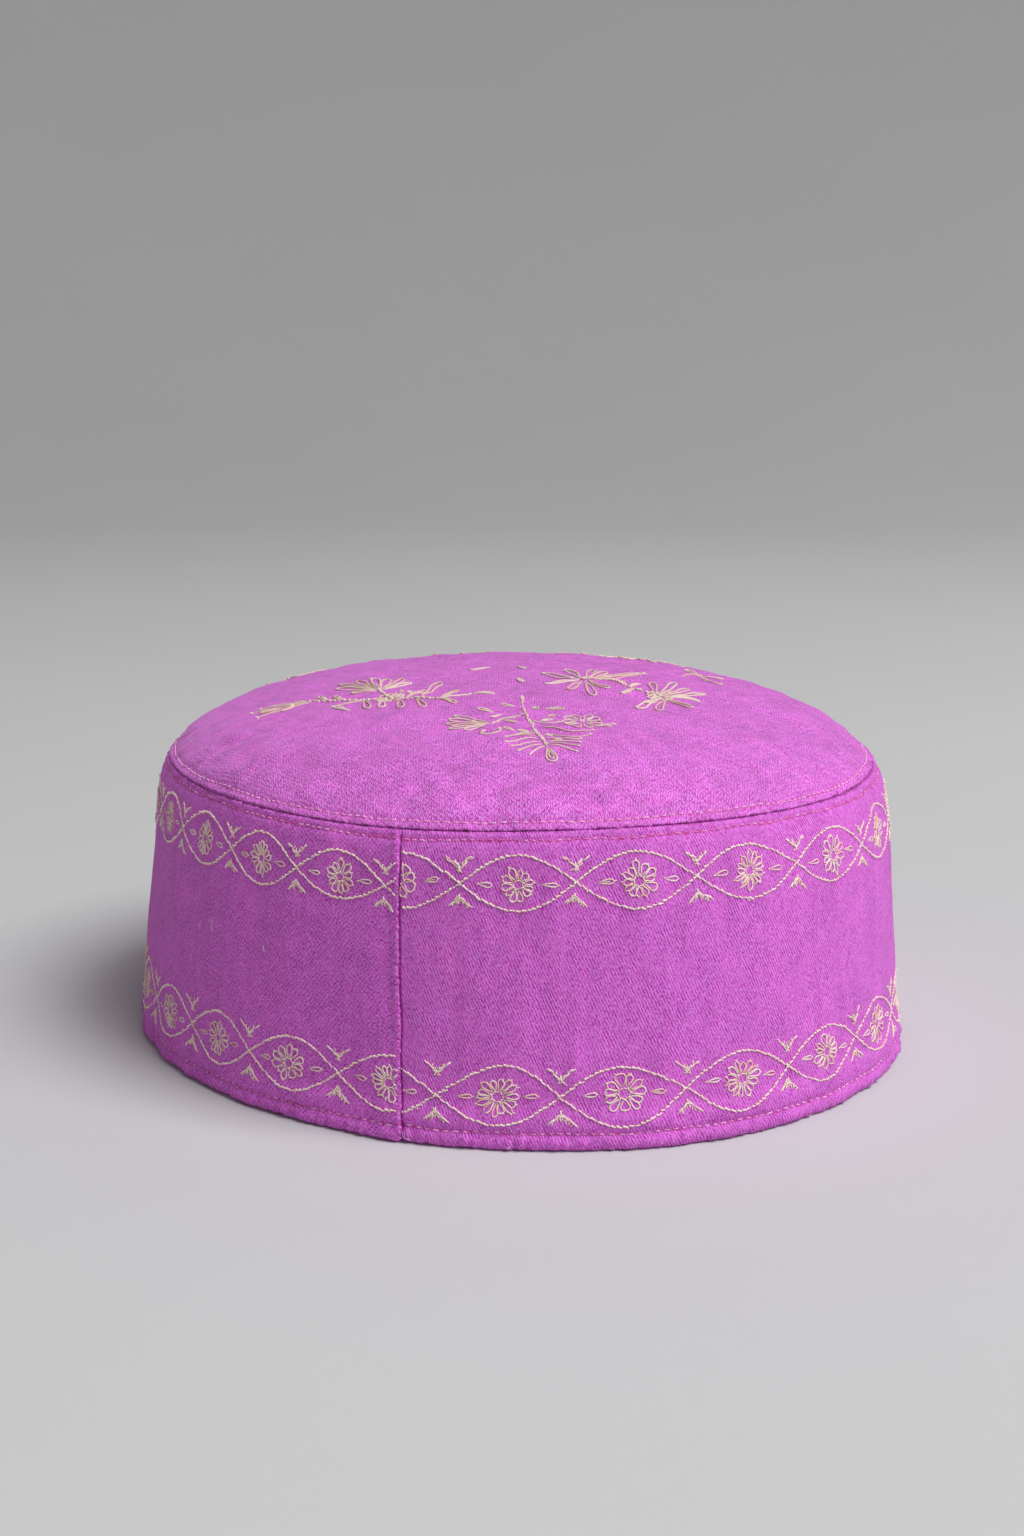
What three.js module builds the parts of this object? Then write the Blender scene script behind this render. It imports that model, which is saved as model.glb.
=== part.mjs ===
// A soft oval skullcap that stands on its own rim.
// It is sewn from two pieces of cloth: a shallow domed crown panel, and a standing band, which is one
// strip with its ends lapped. Both turn their seam allowance in, and the band turns its hem up inside.
// Millimetres, +Z up. The rim rests on Z = 0, the long axis runs along Y and the wearer's front is
// towards -Y. Angles are the oval's own parameter, in radians, from the front towards +X.

import * as THREE from 'three';

// Driving dimensions, in millimetres
const rimHalfWidth = 88;
const ovalRatio = 1.14;
const seamHeight = 64.3;
const seamHalfWidth = 80.75;
const crownRise = 18.2;
const wallBulge = 0.85;
const shoulderRoll = 1.3;
const shoulderShare = 0.88;
const bandCloth = 1.7;
const crownCloth = 1.3;
const seamGap = 0.3;
const allowanceDepth = 5.5;
const allowanceCloth = 0.8;
const hemDepth = 8.6;
const hemPuff = 0.6;
const hemInside = 2.3;
const hemStitchHeight = 3.0;
const hemStitchSink = 0.35;
const restInner = 1.8;
const restOuter = 0.3;
const lapStep = 0.5;

// The seam sits a little higher to the right and the back: millimetres of rise for each millimetre along
const seamLean = { x: 0.0146, y: 0.0044 };

// The lapped end of the band: its angle, how far it lies over the other end, and its slant down the wall
const lapAngle = -0.749;
const lapReach = 0.16;
const lapFade = 0.12;
const lapSlant = 0.024;
const lapEdgeHalf = 0.003;

// How finely the pieces are faceted
const columnCount = 88;
const columnClearance = 0.03;
const crownSteps = 11;

// The crown's outer profile is one curve from the seam to the top: how far it leans in at the seam while
// it climbs, and how far out it starts to level
const crownLean = 4.5;
const crownClimb = 4.5;
const crownLevel = 66;

// Along that profile, as shares of it: where the turned-in edge starts and where its allowance ends
const crownEdgeShare = 0.09;
const allowanceShare = 0.21;

// The crown's steps lie closer together towards the seam, and its dents fade out just short of it
const crownStepBias = 1.3;
const crownDentFade = 0.06;

// Hand-sewn unevenness of the crown seam: rise is in millimetres, angle and spread in radians
const seamWaves = [
  { angle: -2.6, rise: 0.35, spread: 0.4 },
  { angle: -1.75, rise: 0.4, spread: 0.3 },
  { angle: -0.86, rise: -0.55, spread: 0.3 },
  { angle: -0.2, rise: 0.4, spread: 0.3 },
  { angle: 0.6, rise: -0.45, spread: 0.28 },
  { angle: 1.6, rise: 0.3, spread: 0.4 },
  { angle: 2.5, rise: -0.35, spread: 0.4 },
];

// Soft swells and dents of the wall: push is outward, height and tall in millimetres, across in radians
const wallDents = [
  { angle: 1.0, height: 50, push: 0.9, across: 0.5, tall: 17 },
  { angle: -1.8, height: 46, push: -0.5, across: 0.5, tall: 18 },
  { angle: -0.35, height: 34, push: -0.3, across: 0.3, tall: 20 },
  { angle: 0.25, height: 30, push: 0.25, across: 0.25, tall: 18 },
  { angle: -1.2, height: 24, push: 0.3, across: 0.25, tall: 18 },
  { angle: 2.3, height: 40, push: -0.4, across: 0.4, tall: 20 },
  { angle: -2.7, height: 36, push: 0.4, across: 0.4, tall: 20 },
];

// Soft swells and dents of the crown: out is the share of the way from the middle to the seam
const crownDents = [
  { angle: -1.7, out: 0.93, push: 0.5, across: 0.5, along: 0.1 },
  { angle: -2.1, out: 0.7, push: -0.4, across: 0.4, along: 0.15 },
  { angle: 0.9, out: 0.88, push: -0.4, across: 0.4, along: 0.12 },
  { angle: -0.5, out: 0.55, push: -0.35, across: 0.5, along: 0.16 },
  { angle: 2.4, out: 0.6, push: 0.3, across: 0.5, along: 0.2 },
];

const bandColour = 0xc060ba;
const crownColour = 0xcf74ca;

function clamp01(value) {
  return Math.min(1, Math.max(0, value));
}

function ease(value) {
  const t = clamp01(value);
  return t * t * (3 - 2 * t);
}

// A smooth hump of height one, centred on zero, that reads as a share of its spread
function hump(distance, spread) {
  const share = distance / spread;
  return Math.exp(-share * share);
}

function turnFrom(angle, centre) {
  const turn = angle - centre;
  return Math.atan2(Math.sin(turn), Math.cos(turn));
}

// Half the outside width of the band's wall at a height
function wallHalfWidth(height) {
  const share = height / seamHeight;
  const rimToSeam = rimHalfWidth + (seamHalfWidth + shoulderRoll - rimHalfWidth) * share;
  const bulge = wallBulge * 4 * share * (1 - share);
  const rollShare = clamp01((share - shoulderShare) / (1 - shoulderShare));
  return rimToSeam + bulge - shoulderRoll * rollShare * rollShare;
}

function ovalPoint(angle, halfWidth, inset) {
  const x = (halfWidth - inset) * Math.sin(angle);
  const y = -(halfWidth * ovalRatio - inset) * Math.cos(angle);
  return new THREE.Vector2(x, y);
}

function seamWave(angle) {
  let rise = 0;
  for (const wave of seamWaves) {
    rise += wave.rise * hump(turnFrom(angle, wave.angle), wave.spread);
  }
  return rise;
}

function seamShift(point, angle) {
  return seamLean.x * point.x + seamLean.y * point.y + seamWave(angle);
}

function wallPush(angle, height) {
  let push = 0;
  for (const dent of wallDents) {
    push += dent.push * hump(turnFrom(angle, dent.angle), dent.across) * hump(height - dent.height, dent.tall);
  }
  return push;
}

function crownPush(angle, out) {
  let push = 0;
  for (const dent of crownDents) {
    push += dent.push * hump(turnFrom(angle, dent.angle), dent.across) * hump(out - dent.out, dent.along);
  }
  return push;
}

// Outside, the upper end swells towards its edge at the lap and stops there
function lapOutside(angle) {
  const swell = ease((angle - lapAngle + lapReach) / lapReach);
  const edge = clamp01((lapAngle + lapEdgeHalf - angle) / (2 * lapEdgeHalf));
  return lapStep * swell * edge;
}

// Inside, the lower end runs on behind the upper one and stops a reach further on
function lapInside(angle) {
  const freeEnd = lapAngle - lapReach;
  const edge = clamp01((angle - freeEnd + lapEdgeHalf) / (2 * lapEdgeHalf));
  const fade = 1 - ease((angle - lapAngle) / lapFade);
  return lapStep * edge * fade;
}

// The angles round the oval: evenly spaced, with a close pair at each edge of the lap
function bandAngles() {
  const edges = [lapAngle, lapAngle - lapReach];
  const angles = [];
  for (const edge of edges) {
    angles.push(edge - lapEdgeHalf, edge + lapEdgeHalf);
  }
  for (let i = 0; i < columnCount; i += 1) {
    const angle = -Math.PI + (2 * Math.PI * i) / columnCount;
    const clear = edges.every((edge) => Math.abs(angle - edge) > columnClearance);
    if (clear) {
      angles.push(angle);
    }
  }
  return angles.sort((a, b) => a - b);
}

function evenAngles() {
  const angles = [];
  for (let i = 0; i < columnCount; i += 1) {
    angles.push(-Math.PI + (2 * Math.PI * i) / columnCount);
  }
  return angles;
}

// The band's section, once round: up the outside, over the turned-in top, and down the inside
function bandSection() {
  const top = seamHeight - seamGap / 2;
  const outside = [
    { height: 0, inset: restOuter },
    { height: 0.4, inset: -0.3 },
    { height: 1.3, inset: -hemPuff },
    { height: hemStitchHeight, inset: -hemPuff + hemStitchSink },
    { height: 4.6, inset: -hemPuff },
    { height: hemDepth - 1.2, inset: -hemPuff + 0.05 },
    { height: hemDepth + 1.0, inset: 0 },
    { height: 22, inset: 0 },
    { height: 35, inset: 0 },
    { height: 47, inset: 0 },
    { height: seamHeight - 7.5, inset: 0 },
    { height: seamHeight - 4.4, inset: 0 },
    { height: seamHeight - 2.2, inset: 0.2 },
    { height: seamHeight - 1.1, inset: 0.1 },
    { height: seamHeight - 0.4, inset: 0.45 },
    { height: top, inset: 1.1 },
  ];
  const inside = [
    { height: top, inset: bandCloth + allowanceCloth },
    { height: seamHeight - allowanceDepth, inset: bandCloth + allowanceCloth },
    { height: seamHeight - allowanceDepth - 0.8, inset: bandCloth },
    { height: 47, inset: bandCloth },
    { height: 35, inset: bandCloth },
    { height: 22, inset: bandCloth },
    { height: hemDepth + 0.6, inset: bandCloth },
    { height: hemDepth, inset: hemInside },
    { height: 1.2, inset: hemInside },
    { height: 0, inset: restInner },
  ];
  return [
    ...outside.map((row) => ({ ...row, faces: 'out' })),
    ...inside.map((row) => ({ ...row, faces: 'in' })),
  ];
}

function bandPoint(angle, row) {
  const share = row.height / seamHeight;
  const slant = lapSlant * (1 - share) * hump(turnFrom(angle, lapAngle), lapReach * 2);
  const turned = angle + slant;
  const lap = row.faces === 'out' ? lapOutside(angle) : -lapInside(angle);
  const push = wallPush(turned, row.height) + lap;
  const plan = ovalPoint(turned, wallHalfWidth(row.height), row.inset - push);
  return new THREE.Vector3(plan.x, plan.y, row.height + share * seamShift(plan, turned));
}

// A point on the crown's outer profile, from the seam at 0 to the top at 1, and the way out of the cloth
function crownProfile(share) {
  const curve = new THREE.CubicBezierCurve(
    new THREE.Vector2(seamHalfWidth, seamHeight),
    new THREE.Vector2(seamHalfWidth - crownLean, seamHeight + crownClimb),
    new THREE.Vector2(crownLevel, seamHeight + crownRise),
    new THREE.Vector2(0, seamHeight + crownRise),
  );
  const point = curve.getPoint(share);
  const along = curve.getTangent(share);
  const outward = new THREE.Vector2(along.y, -along.x);
  return { point, outward };
}

// The crown's section from the middle of the outside, down round the turned-in edge, to the middle inside
function crownSection() {
  const shares = [];
  for (let i = crownSteps; i >= 0; i -= 1) {
    const along = Math.pow(i / crownSteps, crownStepBias);
    shares.push(crownEdgeShare + (1 - crownEdgeShare) * along);
  }
  const edgeHeight = seamHeight + seamGap / 2;
  const outside = shares.map((share) => {
    const { point } = crownProfile(share);
    return { halfWidth: point.x, inset: 0, height: point.y };
  });
  const edge = [
    { halfWidth: seamHalfWidth, inset: 0.85, height: seamHeight + 0.85 },
    { halfWidth: seamHalfWidth, inset: 1.0, height: seamHeight + 0.4 },
    { halfWidth: seamHalfWidth, inset: 1.45, height: edgeHeight },
    { halfWidth: seamHalfWidth, inset: 3.2, height: edgeHeight },
  ];
  const inside = [...shares].reverse().map((share) => {
    const { point, outward } = crownProfile(share);
    const depth = share < allowanceShare ? crownCloth + allowanceCloth : crownCloth;
    return { halfWidth: point.x, inset: outward.x * depth, height: point.y - outward.y * depth };
  });
  return [...outside, ...edge, ...inside.filter((row) => row.height > edgeHeight + 0.3)];
}

function crownPoint(angle, row) {
  const out = row.halfWidth / seamHalfWidth;
  const plan = ovalPoint(angle, row.halfWidth, row.inset);
  const lean = seamLean.x * plan.x + seamLean.y * plan.y;
  const wave = seamWave(angle) * out * out * out;
  const dent = crownPush(angle, out) * ease((1 - out) / crownDentFade);
  return new THREE.Vector3(plan.x, plan.y, row.height + lean + wave + dent);
}

// Adds the faces between two rings of points that start at the given indices
function joinRings(faces, first, second, count) {
  for (let i = 0; i < count; i += 1) {
    const next = (i + 1) % count;
    faces.push(first + i, first + next, second + next);
    faces.push(first + i, second + next, second + i);
  }
}

function toGeometry(points, faces) {
  const positions = new Float32Array(points.length * 3);
  points.forEach((point, i) => point.toArray(positions, i * 3));
  const geometry = new THREE.BufferGeometry();
  geometry.setAttribute('position', new THREE.BufferAttribute(positions, 3));
  geometry.setIndex(faces);
  geometry.computeVertexNormals();
  return geometry;
}

// A closed ring of wall: its section's last row joins its first
function bandGeometry() {
  const section = bandSection();
  const angles = bandAngles();
  const points = section.flatMap((row) => angles.map((angle) => bandPoint(angle, row)));
  const faces = [];
  section.forEach((row, i) => {
    const next = (i + 1) % section.length;
    joinRings(faces, i * angles.length, next * angles.length, angles.length);
  });
  return toGeometry(points, faces);
}

// A closed shell: its section starts and ends on one point in the middle of the crown
function crownGeometry() {
  const section = crownSection();
  const angles = evenAngles();
  const rings = section.slice(1, -1);
  const points = rings.flatMap((row) => angles.map((angle) => crownPoint(angle, row)));
  const faces = [];
  for (let i = 0; i + 1 < rings.length; i += 1) {
    joinRings(faces, (i + 1) * angles.length, i * angles.length, angles.length);
  }
  const topOutside = points.push(crownPoint(0, section[0])) - 1;
  const topInside = points.push(crownPoint(0, section[section.length - 1])) - 1;
  const lastRing = (rings.length - 1) * angles.length;
  for (let i = 0; i < angles.length; i += 1) {
    const next = (i + 1) % angles.length;
    faces.push(topOutside, i, next);
    faces.push(topInside, lastRing + next, lastRing + i);
  }
  return toGeometry(points, faces);
}

function piece(name, geometry, colour) {
  const cloth = new THREE.MeshStandardMaterial({ color: colour, roughness: 0.85, metalness: 0 });
  const mesh = new THREE.Mesh(geometry, cloth);
  mesh.name = name;
  return mesh;
}

const skullcap = new THREE.Group();
skullcap.add(piece('band', bandGeometry(), bandColour));
skullcap.add(piece('crown', crownGeometry(), crownColour));

export default skullcap;
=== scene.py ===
"""The looks of a soft oval skullcap: cloth with a twill weave, thread embroidery, seam stitches and fuzz.

Lengths are in millimetres until a mesh is made, and angles are the oval's own parameter, in radians, from
the wearer's front (-Y) towards +X. Everything random is seeded.
"""

import math

import bpy
import numpy as np
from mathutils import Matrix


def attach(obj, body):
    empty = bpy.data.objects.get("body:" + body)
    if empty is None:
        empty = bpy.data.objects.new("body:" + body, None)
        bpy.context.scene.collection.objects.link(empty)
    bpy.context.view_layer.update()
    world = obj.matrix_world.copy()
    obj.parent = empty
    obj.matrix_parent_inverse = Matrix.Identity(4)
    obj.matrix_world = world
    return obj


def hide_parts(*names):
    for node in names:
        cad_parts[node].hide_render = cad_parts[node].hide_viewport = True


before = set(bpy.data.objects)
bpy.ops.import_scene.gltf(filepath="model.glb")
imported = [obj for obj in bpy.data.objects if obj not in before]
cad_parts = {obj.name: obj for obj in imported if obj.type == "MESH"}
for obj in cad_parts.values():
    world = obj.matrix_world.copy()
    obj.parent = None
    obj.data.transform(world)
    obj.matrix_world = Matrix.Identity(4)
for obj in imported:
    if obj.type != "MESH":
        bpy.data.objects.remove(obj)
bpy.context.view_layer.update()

MM = 0.001
TURN = 2 * math.pi

# The cap's sizes, as in the part's own source
RIM_HALF_WIDTH = 88.0
OVAL_RATIO = 1.14
SEAM_HEIGHT = 64.3
SEAM_HALF_WIDTH = 80.75
CROWN_RISE = 18.2
WALL_BULGE = 0.85
SHOULDER_ROLL = 1.3
SHOULDER_SHARE = 0.88
SEAM_GAP = 0.3
BAND_CLOTH = 1.7
CROWN_CLOTH = 1.3
ALLOWANCE_CLOTH = 0.8
ALLOWANCE_DEPTH = 5.5
HEM_DEPTH = 8.6
HEM_PUFF = 0.6
HEM_INSIDE = 2.3
REST_INNER = 1.8
LAP_ANGLE = -0.749
LAP_STEP = 0.5
LAP_REACH = 0.16
LAP_SLANT = 0.024
SEAM_LEAN_X = 0.0146
SEAM_LEAN_Y = 0.0044
CROWN_LEAN = 4.5
CROWN_CLIMB = 4.5
CROWN_LEVEL = 66.0
CROWN_DENT_FADE = 0.06

# Hand-sewn unevenness of the crown seam: angle, rise, spread
SEAM_WAVES = [
    (-2.6, 0.35, 0.4), (-1.75, 0.4, 0.3), (-0.86, -0.55, 0.3), (-0.2, 0.4, 0.3),
    (0.6, -0.45, 0.28), (1.6, 0.3, 0.4), (2.5, -0.35, 0.4),
]
# Soft swells and dents of the wall: angle, height, push, across, tall
WALL_DENTS = [
    (1.0, 50, 0.9, 0.5, 17), (-1.8, 46, -0.5, 0.5, 18), (-0.35, 34, -0.3, 0.3, 20),
    (0.25, 30, 0.25, 0.25, 18), (-1.2, 24, 0.3, 0.25, 18), (2.3, 40, -0.4, 0.4, 20),
    (-2.7, 36, 0.4, 0.4, 20),
]
# Soft swells and dents of the crown: angle, share of the way out, push, across, along
CROWN_DENTS = [
    (-1.7, 0.93, 0.5, 0.5, 0.1), (-2.1, 0.7, -0.4, 0.4, 0.15), (0.9, 0.88, -0.4, 0.4, 0.12),
    (-0.5, 0.55, -0.35, 0.5, 0.16), (2.4, 0.6, 0.3, 0.5, 0.2),
]

# Where the rows of seam stitches run
HEM_ROW = 3.7
BAND_ROW = SEAM_HEIGHT - 1.7
CROWN_ROW = 2.05
# The hem's rounded lower edge: how high it reaches, and how far in it meets the ground
HEM_ROLL = 1.7
HEM_FOOT = 1.0

# The two embroidered borders: the height of the crossings and how far the waves swing from it
UPPER_BORDER = {"height": 54.2, "swing": 5.6, "rosette": 3.8, "flat": 1.0, "sprig": 1.06, "sprig_lift": 0.0}
LOWER_BORDER = {"height": 12.3, "swing": 5.6, "rosette": 4.35, "flat": 0.9, "sprig": 1.16, "sprig_lift": 0.4}


def hump(distance, spread):
    return np.exp(-((distance / spread) ** 2))


def ease(value):
    t = np.clip(value, 0.0, 1.0)
    return t * t * (3 - 2 * t)


def turn_from(angle, centre):
    return (angle - centre + math.pi) % TURN - math.pi


class Ripples:
    """Smooth seeded unevenness over a surface: a sum of waves of about the given lengths, near -1 to 1."""

    def __init__(self, seed, length_across, length_up, count=14):
        rng = np.random.default_rng(seed)
        bend = rng.normal(size=(count, 2))
        self.across = bend[:, 0] * TURN / length_across
        self.up = bend[:, 1] * TURN / length_up
        self.phase = rng.uniform(0, TURN, count)
        self.share = 1.0 / math.sqrt(count / 2)

    def __call__(self, across, up):
        total = np.zeros(np.broadcast(across, up).shape)
        for a, b, c in zip(self.across, self.up, self.phase):
            total += np.sin(a * across + b * up + c)
        return total * self.share


# Arc length round an oval of half-width one, from the front
ARC_ANGLES = np.linspace(-TURN, TURN, 8001)
_steps = np.hypot(np.cos(ARC_ANGLES), OVAL_RATIO * np.sin(ARC_ANGLES))
ARC_LENGTHS = np.concatenate([[0], np.cumsum((_steps[1:] + _steps[:-1]) / 2 * np.diff(ARC_ANGLES))])
ARC_LENGTHS -= np.interp(0, ARC_ANGLES, ARC_LENGTHS)


def arc_at(angle, half_width):
    return np.interp(angle, ARC_ANGLES, ARC_LENGTHS) * half_width


def angle_at(arc, half_width):
    return np.interp(arc / half_width, ARC_LENGTHS, ARC_ANGLES)


def wall_half_width(height):
    share = height / SEAM_HEIGHT
    width = RIM_HALF_WIDTH + (SEAM_HALF_WIDTH + SHOULDER_ROLL - RIM_HALF_WIDTH) * share
    roll = np.clip((share - SHOULDER_SHARE) / (1 - SHOULDER_SHARE), 0, 1)
    return width + WALL_BULGE * 4 * share * (1 - share) - SHOULDER_ROLL * roll * roll


MIDDLE_HALF_WIDTH = float(wall_half_width(SEAM_HEIGHT / 2))


def seam_wave(angle):
    return sum(rise * hump(turn_from(angle, at), spread) for at, rise, spread in SEAM_WAVES)


def oval(angle, half_width, inset):
    x = (half_width - inset) * np.sin(angle)
    y = -(half_width * OVAL_RATIO - inset) * np.cos(angle)
    return x, y


# The band

band_swell = Ripples(11, 34.0, 60.0)
band_folds = Ripples(12, 9.0, 90.0)
band_lumps = Ripples(13, 7.0, 7.0)
hem_lumps = Ripples(14, 6.5, 14.0)
row_pucker = Ripples(15, 3.4, 300.0)
scallops = Ripples(16, 300.0, 6.0)
seam_bumps = Ripples(17, 2.1, 300.0)

FOLD_SOFTNESS = 0.45
LAP_PITCH = 1.42
TOP_FOLD = 0.6
# Below and above these heights the band's rows lie close together
FINE_BELOW = 11.5
FINE_ABOVE = 57.0
# How many columns the cloths have round the cap
BAND_COLUMNS = 920
CROWN_COLUMNS = 920
fold_lumps = Ripples(18, 300.0, 2.6)


def lap_edge(height):
    """The angle of the lapped end's edge at a height."""
    return LAP_ANGLE + LAP_SLANT * (1 - height / SEAM_HEIGHT)


def lap_profile(turn):
    """How far the cloth stands out by the lap: turn runs from the edge, round the band, and back to it."""
    right = turn * MIDDLE_HALF_WIDTH
    left = (TURN - turn) * MIDDLE_HALF_WIDTH
    swell = ease(1 - (TURN - turn) / LAP_REACH)
    bend = 1 - np.clip(left / FOLD_SOFTNESS, 0, 1)
    fold = (LAP_STEP + 0.22 * hump(left - 0.6, 0.7)) * np.sqrt(1 - bend * bend)
    gap = -0.75 * hump(right - 0.16, 0.24)
    return fold * swell + gap


def band_fine(turn, height, inset_side):
    """The small unevenness of the band's outside: soft folds, puckers along the stitches, a lumpy hem."""
    arc = arc_at(turn + LAP_ANGLE, MIDDLE_HALF_WIDTH)
    push = 0.16 * band_swell(arc, height) + 0.055 * band_folds(arc, height) + 0.03 * band_lumps(arc, height)
    if inset_side == "out":
        stitch = 0.5 + 0.5 * row_pucker(arc, height)
        push = push + 0.10 * stitch * hump(height - BAND_ROW + 1.6, 1.8)
        push = push + 0.14 * stitch * hump(height - HEM_ROW - 1.9, 1.3)
        push = push + 0.13 * hem_lumps(arc, height) * (1 - ease((height - 2) / 7))
        push = push + (0.1 + 0.26 * stitch) * hump(height - 1.9, 1.1)
        edges = hump(height - SEAM_HEIGHT, 1.1) + hump(height - 0.8, 1.2)
        push = push + 0.16 * seam_bumps(arc, 0.0) * edges
    return push


def band_point(turn, height, inset, side="out", lapped=True):
    """A point of the band. turn is the angle from the lapped edge, round to 2 pi on its upper layer."""
    base = turn + LAP_ANGLE
    share = height / SEAM_HEIGHT
    near = np.minimum(turn, TURN - turn)
    slant = LAP_SLANT * (1 - share) * hump(near, 2 * LAP_REACH)
    waved = 0.1 * scallops(0.0, height) / MIDDLE_HALF_WIDTH * hump(near * MIDDLE_HALF_WIDTH, 1.2)
    angle = base + slant + waved
    push = band_fine(turn, height, side)
    for at, high, out, across, tall in WALL_DENTS:
        push = push + out * hump(turn_from(angle, at), across) * hump(height - high, tall)
    if side == "out" and lapped:
        push = push + lap_profile(turn)
    x, y = oval(angle, wall_half_width(height), inset - push)
    lift = share * (SEAM_LEAN_X * x + SEAM_LEAN_Y * y + seam_wave(angle))
    return np.stack(np.broadcast_arrays(x, y, height + lift), -1)


def outside_inset(height):
    """The band's outside section: puffed hem with a rounded lower edge, grooves under the stitch rows."""
    puff = -HEM_PUFF * (1 - ease((height - 6.2) / 3.6))
    roll = np.sqrt(1 - np.clip(1 - height / HEM_ROLL, 0, 1) ** 2)
    puff = puff * roll + HEM_FOOT * (1 - roll)
    hem_groove = 0.45 * hump(height - HEM_ROW, 0.6)
    top_groove = 0.28 * hump(height - BAND_ROW, 0.55)
    return puff + hem_groove + top_groove


def band_rows():
    """The band's section once round, as (height, inset, side, running length)."""
    rows = []
    foot = HEM_ROLL * (1 - np.cos(np.linspace(0, math.pi / 2, 7)[:-1]))
    fine_low = np.arange(HEM_ROLL, FINE_BELOW, 0.5)
    plain = np.arange(FINE_BELOW, FINE_ABOVE, 2.4)
    fine_high = np.arange(FINE_ABOVE, SEAM_HEIGHT - 0.8, 0.45)
    for height in np.concatenate([foot, fine_low, plain, fine_high]):
        rows.append((height, float(outside_inset(height)), "out"))
    top = SEAM_HEIGHT - SEAM_GAP / 2
    start = float(outside_inset(SEAM_HEIGHT - 0.8))
    for t in np.linspace(0, 1, 6):
        bend = t * math.pi / 2
        rows.append((top - TOP_FOLD * (1 - math.sin(bend)), start + TOP_FOLD * (1 - math.cos(bend)), "out"))
    thick = BAND_CLOTH + ALLOWANCE_CLOTH
    low = SEAM_HEIGHT - ALLOWANCE_DEPTH
    inside = [(top, thick - 0.5), (top - 0.4, thick), (60.5, thick), (low, thick), (low - 0.2, BAND_CLOTH)]
    inside += [(height, BAND_CLOTH) for height in np.arange(55, 10, -6.4)]
    inside += [(HEM_DEPTH + 0.25, BAND_CLOTH), (HEM_DEPTH, HEM_INSIDE - 0.15), (HEM_DEPTH - 0.4, HEM_INSIDE)]
    inside += [(height, HEM_INSIDE) for height in (5.8, 3.4, 1.2)]
    inside += [(0.35, HEM_INSIDE - 0.15), (0.0, REST_INNER)]
    return rows + [(height, inset, "in") for height, inset in inside]


def band_turns():
    """Angles round the band from the lapped edge, close together by the edge on both sides."""
    near = np.array([0.0, 0.05, 0.12, 0.2, 0.3, 0.42, 0.58, 0.8, 1.1, 1.5, 2.0]) / MIDDLE_HALF_WIDTH
    even = np.linspace(0, TURN, BAND_COLUMNS, endpoint=False)
    even = even[(even > near[-1] + 0.004) & (even < TURN - near[-1] - 0.004)]
    return np.concatenate([near, even, TURN - near[::-1]])


# The crown

_u = np.linspace(0, 1, 4001)[:, None]
CROWN_CURVE = (
    (1 - _u) ** 3 * np.array([SEAM_HALF_WIDTH, 0.0])
    + 3 * (1 - _u) ** 2 * _u * np.array([SEAM_HALF_WIDTH - CROWN_LEAN, CROWN_CLIMB])
    + 3 * (1 - _u) * _u**2 * np.array([CROWN_LEVEL, CROWN_RISE])
    + _u**3 * np.array([0.0, CROWN_RISE])
)
CROWN_REACH = np.concatenate([[0], np.cumsum(np.hypot(*np.diff(CROWN_CURVE, axis=0).T))])
_slope = np.gradient(CROWN_CURVE, axis=0)
_slope /= np.hypot(*_slope.T)[:, None]
CROWN_OUTWARD = np.stack([_slope[:, 1], -_slope[:, 0]], -1)

crown_swell = Ripples(21, 42.0, 42.0)
crown_lumps = Ripples(22, 13.0, 13.0)
crown_folds = Ripples(25, 5.5, 16.0)
crown_pucker = Ripples(23, 4.6, 300.0)
crown_bumps = Ripples(24, 1.9, 300.0)


def crown_profile(reach):
    """At a length along the cloth from the seam: half-width, height over the seam, and the way out of it."""
    half = np.interp(reach, CROWN_REACH, CROWN_CURVE[:, 0])
    height = np.interp(reach, CROWN_REACH, CROWN_CURVE[:, 1])
    out_x = np.interp(reach, CROWN_REACH, CROWN_OUTWARD[:, 0])
    out_z = np.interp(reach, CROWN_REACH, CROWN_OUTWARD[:, 1])
    return half, height, out_x, out_z


def reach_at(half):
    return np.interp(half, CROWN_CURVE[::-1, 0], CROWN_REACH[::-1])


def crown_fine(angle, reach, half):
    x, y = half * np.sin(angle), -half * OVAL_RATIO * np.cos(angle)
    push = 0.16 * crown_swell(x, y) + 0.13 * crown_lumps(x, y) + 0.055 * crown_folds(x, y)
    arc = arc_at(angle, SEAM_HALF_WIDTH)
    stitch = 0.5 + 0.5 * crown_pucker(arc, 0.0)
    push = push - 0.26 * hump(reach - CROWN_ROW, 0.55)
    push = push + stitch * (0.13 * hump(reach - CROWN_ROW - 1.9, 1.7) + 0.06 * hump(reach - 0.9, 0.7))
    push = push * (0.25 + 0.75 * ease(reach / 3)) + 0.18 * crown_bumps(arc, 0.0) * hump(reach - 0.3, 1.0)
    middle = ease((half - 2) / 10)
    return push * middle + 0.14 * crown_swell(0, 0) * (1 - middle)


def crown_point(angle, reach, depth=0.0, drop_x=0.0, drop_z=0.0):
    """A point of the crown, depth in from its outside. drop moves it in and down, for the folded edge."""
    half, height, out_x, out_z = crown_profile(reach)
    out = half / SEAM_HALF_WIDTH
    push = crown_fine(angle, reach, half)
    inset = (depth - push) * out_x + drop_x
    x, y = oval(angle, half, inset)
    dents = sum(
        push_z * hump(turn_from(angle, at), across) * hump(out - share, along)
        for at, share, push_z, across, along in CROWN_DENTS
    )
    z = SEAM_HEIGHT + height + SEAM_LEAN_X * x + SEAM_LEAN_Y * y + seam_wave(angle) * out**3
    z = z + dents * ease((1 - out) / CROWN_DENT_FADE) - (depth - push) * out_z - drop_z
    return np.stack(np.broadcast_arrays(x, y, z), -1)


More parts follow.
